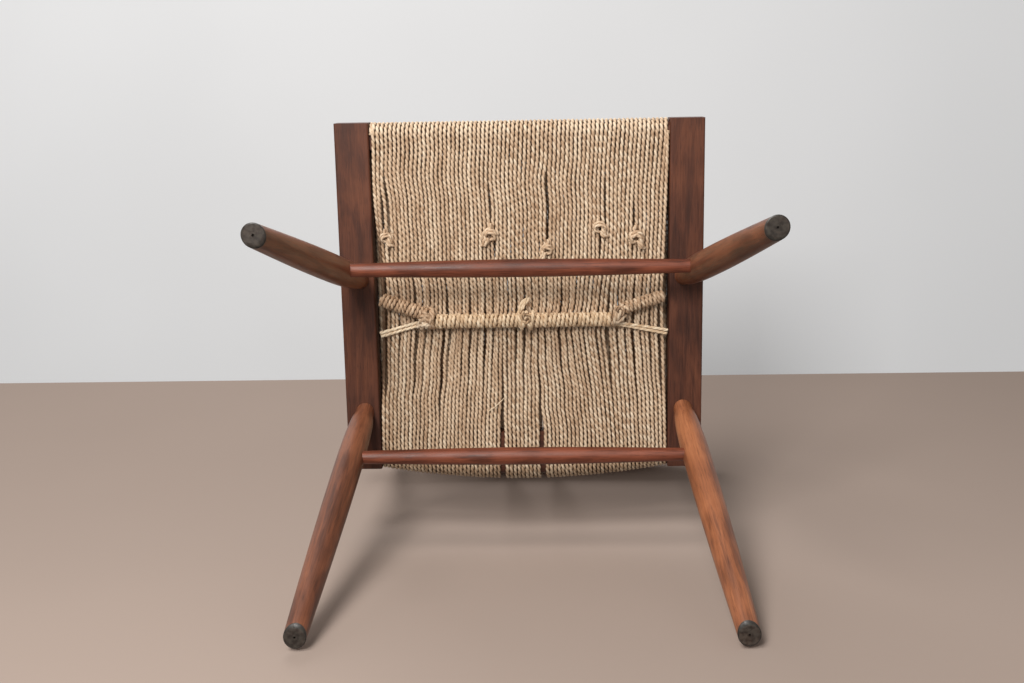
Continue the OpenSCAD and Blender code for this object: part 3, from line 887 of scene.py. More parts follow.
@dataclass
class LowerRuns:
    """Where the lower runs lie, side by side, from the front bar to the rear bar.

    Each slot has the widths slot_widths at the places slot_at. Pairs of values hold in front of the
    tie and behind it. The pairing fades with the distance from the tie, over the tie's reach. The
    tie's arms draw the sides in by the gather: fully at gather_y, and not at all from gather_end
    on. A gap takes its width from as many neighbours on each side as giving says.
    """

    bays: list[Bay]
    slot_at: tuple = (70.0, 108.0, 150.0, 166.0, 186.0, 235.0)
    slot_widths: tuple = (0.0, 1.0, 2.0, 4.0, 4.8, 6.4)
    tie_y: float = 27.0
    tie_reach: tuple = (62.0, 74.0)
    pair_shares: tuple = (0.36, 0.6)
    pair_lifts: tuple = (1.4, 2.9)
    unevenness: float = 0.035
    giving: int = 4
    gather_y: float = -4.0
    gather_end: float = 235.0
    gather_left: float = 7.0
    gather_right: float = 7.2
    rear_y: float = 250.0
    stations: int = 118
    y: np.ndarray = field(init=False)
    x: np.ndarray = field(init=False)
    lift: np.ndarray = field(init=False)

    def __post_init__(self) -> None:
        """Works out the place of every lower run at even stations from front to rear.

        The widths between neighbours at a station are a common pitch, made a little uneven by
        smooth random waves and drawn into pairs beside the tie, plus the two slots and the gaps.
        The pitch is what makes all of them fill the seat's width, less what the tie's arms draw in.
        """
        rng = np.random.default_rng(20)
        self.y = np.linspace(SEAT.front_y, self.rear_y, self.stations)
        count = sum(bay.turns for bay in self.bays)
        reach = np.where(self.y < self.tie_y, *self.tie_reach)
        beside_tie = np.exp(-(((self.y - self.tie_y) / reach) ** 2))
        across_tie = (self.tie_y - 20.0, self.tie_y + 20.0)
        pair_share = np.interp(self.y, across_tie, self.pair_shares) * beside_tie
        pair_lift = np.interp(self.y, across_tie, self.pair_lifts) * beside_tie
        alternate = np.where(np.arange(count - 1) % 2 == 0, -1.0, 1.0)
        pairing = alternate * rng.uniform(-0.15, 1.3, count - 1)
        uneven = np.stack([wander(self.y, (260.0, 118.0, 61.0), rng) for _ in range(count - 1)])
        weights = 1 + self.unevenness * uneven + pairing[:, None] * pair_share
        left, right = self._sides()
        plain = left + np.arange(count - 1)[:, None] * (right - left) / (count - 1)
        extra = self._openings(plain)
        pitch = (right - left - extra.sum(axis=0)) / weights.sum(axis=0)
        widths = weights * pitch + extra
        self.x = np.concatenate([left[None, :], left + np.cumsum(widths, axis=0)])
        waves = np.stack([wander(self.y, (240.0, 97.0, 53.0), rng) for _ in range(count)])
        behind = np.where(np.arange(count) % 2 == 0, 1.0, -0.12) * np.append(np.abs(pairing), 0.6)
        self.lift = 0.35 * waves + behind[:, None] * pair_lift

    def _sides(self) -> tuple[np.ndarray, np.ndarray]:
        """Returns the x of the first and the last run at the stations.

        They are drawn in fully at the tie's arms, and less and less towards both bars.

        Returns:
            The x of the first run and that of the last one, by station.
        """
        reach = SEAT.inner_half - SEAT.side_gap - SEAT.cord / 2
        front = (self.y - SEAT.front_y) / (self.gather_y - SEAT.front_y)
        rear = (self.gather_end - self.y) / (self.gather_end - self.gather_y)
        drawn = np.clip(np.minimum(front, rear), 0, 1) ** 1.15
        return -reach + self.gather_left * drawn, reach - self.gather_right * drawn

    def _openings(self, plain: np.ndarray) -> np.ndarray:
        """Returns how much wider than the pitch each width is at the stations.

        The slots stand between the bays. A gap opens at the width that is nearest to it, and takes
        what it needs from the next few widths on both sides.

        Args:
            plain: the x of each run but the last, if all filled the seat evenly.

        Returns:
            The extra width, by pair of neighbouring runs and by station.
        """
        extra = np.zeros_like(plain)
        slot = np.interp(self.y, self.slot_at, self.slot_widths)
        last = 0
        for bay in self.bays[:-1]:
            last += bay.turns
            extra[last - 1] += slot
        for gap in GAPS:
            middle = (gap.y_from + gap.y_to) / 2
            station = int(np.argmin(np.abs(self.y - middle)))
            between = int(np.argmin(np.abs(plain[:, station] + SEAT.cord / 2 - gap.x)))
            opening = gap.opening(self.y)
            extra[between] += opening
            for step in range(1, self.giving + 1):
                for neighbour in (between - step, between + step):
                    if 0 <= neighbour < len(extra):
                        extra[neighbour] -= opening / (2 * self.giving)
        return extra

    def place(self, index: int, y: np.ndarray) -> tuple[np.ndarray, np.ndarray]:
        """Returns the x and the lift of one lower run, counted over the whole seat, at places y."""
        return np.interp(y, self.y, self.x[index]), np.interp(y, self.y, self.lift[index])


@dataclass
class CordSeat:
    """The wound seat: three bays of cord and the knots between their lengths.

    The steps are the numbers of points on each run and on each half turn round a bar. The first
    lower runs beside the left rail are sunk: pressed up by their sunk lifts between two places.
    Behind the two places upper_slot_from, for the left and the right half, the upper runs spread
    to their places at the rear bar, which leaves the slots open.
    """

    upper_steps: int = 292
    lower_steps: int = 359
    bend_steps: int = 32
    sunk_lifts: tuple = (13.0, 4.5)
    sunk_from: float = -128.0
    sunk_to: float = 152.0
    nose_slack: float = 1.6
    spread_over: float = 70.0
    level_before_bar: float = 52.0
    level_over: float = 20.0
    knot_length: float = 9.0
    wider_loop: float = 0.35
    upper_slot_from: tuple = (182.0, 163.0)
    slot_shift: tuple = (-2.8, -2.0)
    slot_shift_from: float = 60.0
    slot_shift_over: float = 70.0
    # Painted shade on the seat cords' sides towards their neighbours.
    crevice: float = 0.72
    loose_knot: Knot = Knot(0, 33.3, -65.5, 0.85)
    bays: list[Bay] = field(init=False)
    count: int = field(init=False)
    lower: LowerRuns = field(init=False)

    def __post_init__(self) -> None:
        """Lays out the bays as the part does: the slots stand at the two middle spindles."""
        slot_in = SEAT.spindle_gap / 2 - SEAT.cord_slot / 2
        slot_out = SEAT.spindle_gap / 2 + SEAT.cord_slot / 2
        edge = SEAT.cord_edge
        left_joins = (Knot(4, -176.8, -84, 0.8, True), Splice(16, 27.0), Knot(28, -41.8, -86))
        left = Bay("seat_cord_left", -edge, -slot_out, 0, 3, left_joins)
        middle = Bay("seat_cord_middle", -slot_in, slot_in, left.turns, 5)
        start = middle.before + middle.turns
        right_joins = (Knot(14, 104.2, -94, 0.9, True), Knot(23, 152.4, -80, 1.0, True))
        right = Bay("seat_cord_right", slot_out, edge, start, 7, right_joins)
        self.bays = [left, middle, right]
        self.count = start + right.turns
        self.lower = LowerRuns(self.bays)

    @property
    def reach(self) -> float:
        """Distance of the first and last cord's centre from the middle, at the bars."""
        return SEAT.cord_edge - SEAT.cord / 2

    @property
    def loop_r(self) -> float:
        """Radius of a cord's half turn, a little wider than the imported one."""
        return SEAT.loop_r + self.wider_loop

    def even_x(self, turn: float) -> float:
        """Returns the place of a turn, counted over the whole seat, if all filled it evenly."""
        return -self.reach + 2 * self.reach * turn / (self.count - 1)

    def front_x(self, turn: int) -> float:
        """Returns where the lower run of a turn ends and the next turn goes up: half a step on."""
        return float(np.clip(self.even_x(turn + 0.5), -self.reach, self.reach))

    def _lower_run(self, turn: int, y: np.ndarray) -> np.ndarray:
        """Returns points of a turn's lower run: the layout's place, moved half a step in front.

        Args:
            turn: the turn's number, counted over the whole seat.
            y: places along the seat.

        Returns:
            The point at each place.
        """
        x, lift = self.lower.place(turn, y)
        near = np.clip((y - SEAT.front_y) / self.spread_over, 0, 1)
        near = near * near * (3 - 2 * near)
        x = x + (self.front_x(turn) - self.even_x(turn)) * (1 - near)
        slots = SEAT.spindle_gap / 2
        places = (-self.reach, -slots, slots, self.reach)
        aside = np.interp(x, places, (0.0, *self.slot_shift, 0.0))
        x = x + aside * np.clip((y - self.slot_shift_from) / self.slot_shift_over, 0, 1)
        rear = np.clip((SEAT.rear_y(x) - self.level_before_bar - y) / self.level_over, 0, 1)
        lift = lift * near * rear + self._sunk(turn, y)
        return np.stack([x, y, SEAT.bar_z - self.loop_r + lift], axis=1)

    def _sunk(self, turn: int, y: np.ndarray) -> np.ndarray:
        """Returns how far a lower run is pressed up between its neighbour and the left rail.

        It is a flattened half wave between two places, and nothing elsewhere or on other runs.

        Args:
            turn: the turn's number, counted over the whole seat.
            y: places along the seat.

        Returns:
            How far it is up at each place.
        """
        lift = self.sunk_lifts[turn] if turn < len(self.sunk_lifts) else 0.0
        share = np.clip((y - self.sunk_from) / (self.sunk_to - self.sunk_from), 0, 1)
        return lift * np.minimum(1.0, 1.5 * np.sin(math.pi * share))

    def _bend(self, x_from: float, x_to: float, y: float, way: int, rising: bool) -> np.ndarray:
        """Returns half a turn round a bar.

        The height and y go round a half circle, and x follows the smooth step of the angle.

        Args:
            x_from: the x at its start.
            x_to: the x at its end.
            y: the y of the half circle's centre.
            way: 1 at the rear bar and -1 at the front bar.
            rising: whether it starts below the bar.

        Returns:
            Its points but the last, with which the next run starts.
        """
        share = np.linspace(0, 1, self.bend_steps, endpoint=False)
        angle = math.pi * share
        up = -1.0 if rising else 1.0
        x = x_from + (x_to - x_from) * share**2 * (3 - 2 * share)
        z = SEAT.bar_z + up * self.loop_r * np.cos(angle)
        return np.stack([x, y + way * self.loop_r * np.sin(angle), z], axis=1)

    def route(self, bay: Bay) -> tuple[np.ndarray, np.ndarray]:
        """Winds one bay.

        Each turn goes up round the front bar, back along an upper run, down round the rear bar and
        forward along the next lower run.

        Args:
            bay: the bay.

        Returns:
            The points of the whole winding, and for each the number of the lower run it is on,
            or -1 elsewhere.
        """
        rng = np.random.default_rng(bay.seed)
        points = []
        marks = []
        upper = np.linspace(0, 1, self.upper_steps, endpoint=False)
        lower = np.linspace(0, 1, self.lower_steps, endpoint=False)
        for turn in range(bay.turns):
            place = bay.before + turn
            x_front = self.even_x(place)
            x_rear = float(bay.rear_x(turn))
            rear = float(SEAT.rear_y(x_rear))
            up = self._bend(self.front_x(place - 1), x_front, SEAT.front_y, -1, True)
            y = SEAT.front_y + (rear - SEAT.front_y) * upper
            sway = 0.28 * wander(y, (210.0, 90.0), rng) * np.sin(math.pi * upper)
            open_from = self.upper_slot_from[int(x_rear > 0)]
            spread = np.clip((y - open_from) / (rear - 6.0 - open_from), 0, 1)
            x = x_front + (x_rear - x_front) * spread + sway
            lift = 0.25 * wander(y, (180.0, 75.0), rng) * np.sin(math.pi * upper)
            over = np.stack([x, y, SEAT.bar_z + self.loop_r + lift], axis=1)
            under = self._lower_run(place, rear + (SEAT.front_y - rear) * lower)
            down = self._bend(x_rear, float(under[0, 0]), rear, 1, False)
            down[:, 1] += self.nose_slack * np.sin(np.linspace(0, math.pi, len(down)))
            points += [up, over, down, under]
            marks += [np.full(len(p), -1) for p in (up, over, down)]
            marks.append(np.full(len(under), turn + 1))
        last = self.front_x(bay.before + bay.turns - 1)
        points.append(np.array([[last, SEAT.front_y, SEAT.bar_z - self.loop_r]]))
        marks.append(np.array([bay.turns]))
        return np.concatenate(points), np.concatenate(marks)

    def build(self, finish: bpy.types.Material) -> None:
        """Makes the cords' lengths and the knots between them.

        Args:
            finish: the material of the cords and knots.
        """
        knots = Skin()
        for bay in self.bays:
            path, marks = self.route(bay)
            cuts = self._cuts(bay, path, marks, knots)
            for number, (start, stop) in enumerate(zip(cuts[::2], cuts[1::2]), 1):
                self._add_length(bay, number, path[start:stop], marks[start:stop], finish)
        self.loose_knot.add(knots, np.random.default_rng(33))
        place_piece(knots.build("cord_knots_tied"), finish, "cord_dark", "cord_knots")

    def _cuts(self, bay: Bay, path: np.ndarray, marks: np.ndarray, knots: Skin) -> list[int]:
        """Cuts a bay's winding at its joins and ties its knots.

        Args:
            bay: the bay.
            path: the points of its winding.
            marks: for each point the number of the lower run that it is on, or -1 elsewhere.
            knots: what its knots are added to.

        Returns:
            For each length in turn, its first point and the point after its last.
        """
        cuts = [0]
        for join in bay.joins:
            on_run = np.flatnonzero(marks == join.run)
            half = self.knot_length / 2 if isinstance(join, Knot) else 0.0
            before = int(on_run[path[on_run, 1] >= join.y + half][-1])
            after = int(on_run[path[on_run, 1] <= join.y - half][0])
            if isinstance(join, Splice):
                cuts += [before + 1, before]
                continue
            cuts += [before + 1, after]
            rng = np.random.default_rng(join.run)
            Cord(rng=rng).add(knots, even(np.stack([path[before], path[after]]), 1.2), ACROSS)
            join.add(knots, rng)
        return [*cuts, len(path)]

    def _add_length(
        self,
        bay: Bay,
        number: int,
        path: np.ndarray,
        marks: np.ndarray,
        finish: bpy.types.Material,
    ) -> None:
        """Makes one length of cord between two joins, with its tint and fullness along it.

        The tint changes slowly from turn to turn. Behind the rear bar the cord is darker, as painted
        shade, round the front bar paler, as painted light, and where it is sunk it is darker still,
        as painted shade. On the seat's upper side it is full.

        Args:
            bay: the bay.
            number: the length's number in the bay, from one on.
            path: its points.
            marks: for each point the number of the lower run that it is on, or -1 elsewhere.
            finish: its material.
        """
        cord = Cord(rng=np.random.default_rng(bay.seed * 10 + number), crevice=self.crevice)
        along = arc_length(path)
        tint = 0.5 + 0.2 * wander(along, (1700.0, 930.0, 610.0), cord.rng)
        # Painted shade: the sunk runs beside the left rail are darkened.
        if bay.before == 0:
            for turn in range(len(self.sunk_lifts)):
                tint = tint - 0.1 * self._sunk(turn, path[:, 1]) * (marks == turn + 1)
        # Painted shade: behind the rear bar the cord is darkened.
        shade_behind_bar = np.clip((path[:, 1] - SEAT.rear_y(path[:, 0]) + 4.0) / 8.0, 0, 1)
        # Painted light: round the front bar the cord is made paler.
        light_before_bar = np.clip((SEAT.front_y - path[:, 1]) / 8.0 + 0.5, 0, 1)
        tint = tint - 0.4 * shade_behind_bar + 0.35 * light_before_bar
        full = np.clip((path[:, 2] - SEAT.bar_z) / SEAT.loop_r, 0, 1)
        skin = Skin()
        cord.add(skin, path, ACROSS, tint, full)
        piece = skin.build(f"{bay.name}_{number}")
        place_piece(piece, finish, "cord", bay.name, note=f"{along[-1] / 1000:.2f} m of cord")


def place_piece(
    piece: bpy.types.Object, finish: bpy.types.Material, slot: str, *nodes: str, note: str = ""
) -> None:
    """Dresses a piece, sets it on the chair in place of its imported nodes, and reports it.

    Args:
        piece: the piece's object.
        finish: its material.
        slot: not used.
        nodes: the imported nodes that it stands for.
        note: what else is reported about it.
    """
    piece.data.materials.append(finish)
    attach(piece, "root")
    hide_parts(*nodes)
    LOG.info("%s: %d faces, for %s %s", piece.name, len(piece.data.polygons), ", ".join(nodes), note)


class Side(Enum):
    """The chair's two sides as seen from the front."""

    LEFT = -1
    RIGHT = 1

    @property
    def label(self) -> str:
        """The side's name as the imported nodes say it."""
        return self.name.lower()

    def pick(self, pair: tuple) -> float | tuple | np.ndarray:
        """Returns what belongs to this side in a pair of something left and something right."""
        return pair[int(self is Side.RIGHT)]


@dataclass(frozen=True)
class Bundle:
    """One bundle of the tie: its axis, its thickness and the step and tint of its winding."""

    label: str
    start: np.ndarray
    end: np.ndarray
    thick: float
    step: float
    tint: float

    def wind(self, skin: Skin, cord: Cord, points: int = 42) -> None:
        """Adds a cord wound round the bundle as a helix, with uneven turns of so many points.

        Args:
            skin: what the winding is added to.
            cord: the cord that is wound.
            points: the number of points for each turn.
        """
        length = np.linalg.norm(self.end - self.start)
        turns = math.floor((length - SEAT.cord) / self.step)
        axis = (self.end - self.start) / length
        out = unit(np.cross(axis, UP))
        up = np.cross(out, axis)
        angle = np.linspace(0, FULL * turns, points * turns)
        along = (length - turns * self.step) / 2 + self.step * angle / FULL
        along = along + 0.45 * wander(angle, (FULL * 1.7, FULL * 3.1, FULL * 0.83), cord.rng)
        radius = (self.thick - cord.diameter) / 2
        radius = radius + 0.3 * wander(angle, (FULL * 2.3, FULL * 0.7), cord.rng)
        spoke = np.cos(angle)[:, None] * out + np.sin(angle)[:, None] * up
        path = self.start + along[:, None] * axis + radius[:, None] * spoke
        cord.add(skin, path, axis, self.tint)

    def add_core(self, skin: Skin, rng: np.random.Generator) -> None:
        """Adds the straight cord that fills most of the room inside the winding.

        Args:
            skin: what the core is added to.
            rng: where its unevenness comes from.
        """
        room = self.thick / 2 - SEAT.cord - 0.25
        cord = Cord(diameter=2 * room * 0.9, lay=60.0, rng=rng)
        cord.add(skin, even(np.stack([self.start, self.end]), 3.0), UP)


@dataclass
class CrossTie:
    """The bundle that ties the lower cords across, its arms, knots and loose ends.

    Pairs of values are for the left and the right side. A strand's points are x, y and the
    distance below the lower cords.
    """

    half: float = 119.0
    y: float = 27.0
    thick: float = 20.2
    step: float = 5.55
    tint: float = 0.45
    rest: float = 0.3
    arm_thick: tuple = (19.6, 17.5)
    # The left arm's lower tint is painted shade.
    arm_tints: tuple = (-0.06, 0.15)
    arm_step: float = 5.3
    arm_drop: float = 2.4
    arm_starts: tuple = ((-122.0, 18.5), (133.0, 12.0))
    arm_ends: tuple = ((-187.5, -4.0), (189.0, -4.0))
    tail_starts: tuple = ((-131.0, 29.0), (119.0, 32.0))
    tail_ends: tuple = ((-189.0, 45.5), (193.0, 46.2))
    tail_start_drop: float = 11.0
    tail_end_drop: float = 3.4
    tail_rise: float = 5.0
    tail_tints: tuple = (0.9, 0.6)

    @property
    def under(self) -> float:
        """Height below which the bundles hang, a rest below the lower cords' underside."""
        return SEAT.lower_z - SEAT.cord / 2 - self.rest

    @property
    def z(self) -> float:
        """Height of the middle bundle's axis."""
        return self.under - self.thick / 2

    def arm(self, side: Side) -> Bundle:
        """Returns the arm of a side, from the tie to the side rail.

        Args:
            side: the side.

        Returns:
            The arm's bundle.
        """
        thick = side.pick(self.arm_thick)
        start = np.array([*side.pick(self.arm_starts), self.z - self.arm_drop])
        end = np.array([*side.pick(self.arm_ends), self.under - thick / 2])
        return Bundle(side.label, start, end, thick, self.arm_step, side.pick(self.arm_tints))

    def build(self, finish: bpy.types.Material, knot_finish: bpy.types.Material) -> None:
        """Makes the tie's windings, cores, knots and loose ends.

        Args:
            finish: the material of the middle bundle and the loose ends.
            knot_finish: the material of the arms and their knots.
        """
        start, end = (np.array([side * self.half, self.y, self.z]) for side in (-1, 1))
        self._wound(Bundle("middle", start, end, self.thick, self.step, self.tint), finish)
        for side in Side:
            self._wound(self.arm(side), knot_finish)
            self._tail(side, finish)
        self._left_knot(knot_finish)
        self._right_knot(knot_finish)

    def _wound(self, bundle: Bundle, finish: bpy.types.Material) -> None:
        """Makes the winding and the core of a bundle. The middle one also carries a knot.

        Args:
            bundle: the bundle.
            finish: its material.
        """
        rng = np.random.default_rng(len(bundle.label) + 40)
        cord = Cord(diameter=5.7, lay=13.2, rng=rng, unevenness=0.1, waist=0.27)
        # Painted shade on the tie's turns: on their sides and in their grooves.
        cord.crevice = 0.2
        cord.groove_share = 0.55
        skin = Skin()
        bundle.wind(skin, cord)
        if bundle.label == "middle":
            self._middle_knot(skin, rng)
        winding = skin.build(f"tie_winding_{bundle.label}")
        place_piece(winding, finish, "cord", f"tie_wrap_{bundle.label}")
        skin = Skin()
        bundle.add_core(skin, rng)
        core = skin.build(f"tie_bundle_{bundle.label}")
        place_piece(core, finish, "cord_dark", f"tie_core_{bundle.label}")

    def _strands(
        self, skin: Skin, strands: tuple, size: float, tint: float, rng: np.random.Generator
    ) -> None:
        """Adds twisted strands through their points.

        Args:
            skin: what the strands are added to.
            strands: the points of each strand.
            size: their diameter.
            tint: how pale they are.
            rng: where their unevenness comes from.
        """
        for strand in strands:
            line = smooth_path([[x, y, self.under - drop] for x, y, drop in strand], 1.1)
            line = wobbled(line, 0.35, (19.0, 11.0), rng)
            Cord(diameter=size, lay=15.0, rng=rng, unevenness=0.1).add(skin, line, UP, tint)

    def _ring(
        self, skin: Skin, place: tuple, reach: float, slant: float, tint: float, cord: Cord
    ) -> None:
        """Adds one cord's turn round the bundle: a circle about its axis, slanted along it.

        Args:
            skin: what the turn is added to.
            place: the x and y of its middle.
            reach: its radius.
            slant: how far it leans along the bundle, to one side and to the other.
            tint: how pale it is.
            cord: the cord.
        """
        x, y = place
        angle = np.linspace(-0.5 * math.pi, 1.5 * math.pi, 80)
        height = self.z - reach * 0.98 * np.sin(angle)
        places = [x + slant * np.cos(angle), y + reach * np.cos(angle), height]
        cord.add(skin, even(np.stack(places, axis=1), 1.5), ACROSS, tint)

    def _middle_knot(self, skin: Skin, rng: np.random.Generator) -> None:
        """Adds the knot on the middle bundle: slanting turns, a curl and a fanned cut end.

        Args:
            skin: what the knot is added to.
            rng: where its unevenness comes from.
        """
        reach = self.thick / 2 + 0.6
        for x, slant in ((-2.2, 2.0), (3.2, -3.2), (8.6, 3.2), (13.4, -1.6)):
            cord = Cord(diameter=5.6, lay=15.0, rng=rng, unevenness=0.1)
            self._ring(skin, (x, self.y), reach, slant, 0.6, cord)
        curl = np.linspace(0, FULL * 1.7, 60)
        radius = 1.8 + 5.4 * curl / curl[-1]
        x = 6.0 + radius * np.cos(curl)
        y = 21.5 + 1.15 * radius * np.sin(curl)
        line = even(np.stack([x, y, self.under - 22.0 - np.cos(curl)], axis=1), 1.1)
        cord = Cord(diameter=4.3, lay=13.0, rng=rng, unevenness=0.1)
        cord.add(skin, line, UP, np.linspace(-0.9, 0.35, len(line)))
        for spread in np.linspace(-1.0, 1.0, 4):
            strand = (
                (-4.5 - spread, 18.0 + 2.0 * spread, 12.0),
                (-0.5 + spread, 9.0 + 2.4 * spread, 11.0),
                (5.0 + 2.0 * spread, 1.6 + 1.6 * spread, 8.0),
                (8.5 + 1.6 * spread, -2.6 + 1.4 * abs(spread), 5.5),
            )
            self._strands(skin, (strand,), 3.5, 0.55, rng)

    def _left_knot(self, finish: bpy.types.Material) -> None:
        """Makes the left knot: turns and crossing strands at the arm, and a pale flat knot.

        Args:
            finish: its material.
        """
        rng = np.random.default_rng(59)
        skin = Skin()
        cord = Cord(diameter=5.4, lay=15.5, rng=rng, unevenness=0.08)
        for x, slant in ((-126.0, 5.0), (-118.6, 1.6)):
            self._ring(skin, (x, 23.5), 11.4, slant, 0.1, cord)
        lumps = (
            ((-136, 12, 8), (-130, 12.5, 18), (-123, 18, 22.5), (-117.5, 27, 19), (-118, 33, 12)),
            ((-138, 20, 12), (-131, 18, 20.5), (-124, 23, 23.5), (-119, 30, 19)),
            ((-121, 9, 6), (-117, 14, 16.5), (-118.5, 22, 22.5), (-124.5, 29, 20)),
            ((-129, 10, 8), (-126, 15, 20), (-128.5, 22, 23), (-134, 26, 17)),
        )
        self._strands(skin, lumps, 5.2, 0.1, rng)
        pale = (
            ((-139, 31, 10), (-133, 25.5, 17), (-126, 26.5, 21), (-121.5, 31, 19), (-127, 33.5, 17)),
            ((-138, 34, 10), (-132, 30.5, 19), (-125, 30, 21.5), (-120.5, 28.6, 19.5)),
            ((-135, 22, 12), (-131, 25, 19), (-129.5, 31, 19.5), (-133, 36, 12)),
        )
        self._strands(skin, pale, 4.8, 0.95, rng)
        place_piece(skin.build("tie_rosette_left"), finish, "cord_dark", "tie_knot_left")

    def _right_knot(self, finish: bpy.types.Material) -> None:
        """Makes the right knot: a flat curl of cord over the turns at the arm.

        Args:
            finish: its material.
        """
        rng = np.random.default_rng(61)
        skin = Skin()
        cord = Cord(diameter=5.2, lay=15.0, rng=rng, unevenness=0.09)
        for x, slant in ((123.5, -2.2), (128.5, -4.0)):
            self._ring(skin, (x, 22.5 - 0.7 * (x - 123.5)), 11.0, slant, 0.5, cord)
        curl = np.linspace(0, FULL * 2.3, 110)
        radius = 0.8 + 6.6 * curl / curl[-1]
        x = 128.0 + radius * np.cos(curl)
        y = 14.5 + radius * np.sin(curl)
        z = self.under - 20.5 + 3.0 * (radius / 7.4) ** 2
        line = even(np.stack([x, y, z], axis=1), 1.3)
        cord = Cord(diameter=3.5, lay=13.0, rng=rng, unevenness=0.1)
        cord.add(skin, line, UP, np.linspace(-0.6, 0.4, len(line)))
        end = ((118, 32, 14), (124, 30, 17), (131, 27, 16), (137, 22, 11))
        self._strands(skin, (end,), 5.0, 0.8, rng)
        place_piece(skin.build("tie_rosette_right"), finish, "cord_dark", "tie_knot_right")

    def _tail(self, side: Side, finish: bpy.types.Material) -> None:
        """Makes the two loose ends that run side by side from a knot to the side rail.

        Args:
            side: the side.
            finish: their material.
        """
        rng = np.random.default_rng(side.pick((81, 82)))
        start = np.array([*side.pick(self.tail_starts), self.under - self.tail_start_drop])
        end = np.array([*side.pick(self.tail_ends), self.under - self.tail_end_drop])
        t = np.linspace(0, 1, 60)[:, None]
        line = start + (end - start) * t + UP * self.tail_rise * np.sin(math.pi * t) * (1 - t)
        level = unit((end - start) * [1, 1, 0])
        aside = np.array([-level[1], level[0], 0.0]) * side.value
        skin = Skin()
        for strand in (-1.0, 1.0):
            apart = strand * side.pick((2.3, 1.1 + 1.4 * t))
            path = line + aside * apart + UP * 0.5 * strand
            cord = Cord(diameter=4.9, lay=15.5, rng=rng, unevenness=0.08)
            cord.add(skin, even(path, 1.8), UP, side.pick(self.tail_tints))
        piece = skin.build(f"tie_end_{side.label}")
        place_piece(piece, finish, "cord", f"tie_tail_{side.label}")


@dataclass
class Straw:
    """A thin loose blade of straw that sticks out between the rear cords."""

    thick: float = 1.1
    lay: float = 30.0
    points: tuple = (
        (-49, 156, 343.0),
        (-44, 151.5, 340.6),
        (-36, 145, 338.4),
        (-27, 136.5, 339.6),
        (-24.5, 134, 342.5),
    )

    def build(self, finish: bpy.types.Material) -> None:
        """Makes the straw as one thin flat-sided tube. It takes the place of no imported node.

        Args:
            finish: its material.
        """
        skin = Skin()
        cord = Cord(diameter=self.thick, lay=self.lay, rng=np.random.default_rng(9))
        cord.add(skin, smooth_path(list(self.points), 1.2), UP, 1.0)
        piece = skin.build("loose_straw")
        piece.data.materials.append(finish)
        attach(piece, "root")
        LOG.info("%s: %d faces", piece.name, len(piece.data.polygons))


def turned(
    skin: Skin, a: np.ndarray, b: np.ndarray, along: np.ndarray, radius: np.ndarray, sides: int = 72
) -> None:
    """Adds a surface of revolution about the line from a to b.

    Ring i lies at the distance along from a, with that radius. The grain's coordinates are each
    point's place in its own piece of wood, in metres: two distances across the axis and the one
    along it, moved by the piece's own place so that no two pieces are cut from the same spot.

    Args:
        skin: what the surface is added to.
        a: the point of the axis from which the rings are measured.
        b: a point of the axis further along.
        along: the distance of each ring from a.
        radius: the radius of each ring.
        sides: the number of points of a ring.
    """
    axis = unit(b - a)
    helper = np.array([0.0, 1.0, 0.0]) if abs(axis[0]) > 0.9 else ACROSS
    first = unit(helper - helper.dot(axis) * axis)
    second = np.cross(axis, first)
    angle = FULL * np.arange(sides) / sides
    spoke = np.cos(angle)[:, None] * first + np.sin(angle)[:, None] * second
    grid = a + along[:, None, None] * axis + radius[:, None, None] * spoke
    x = radius[:, None] * np.cos(angle)
    y = radius[:, None] * np.sin(angle)
    local = np.stack([x, y, np.broadcast_to(along[:, None], x.shape)], axis=-1)
    skin.add_tube(grid, {"grain_point": (local + a * GRAIN_SHIFT) * MM})


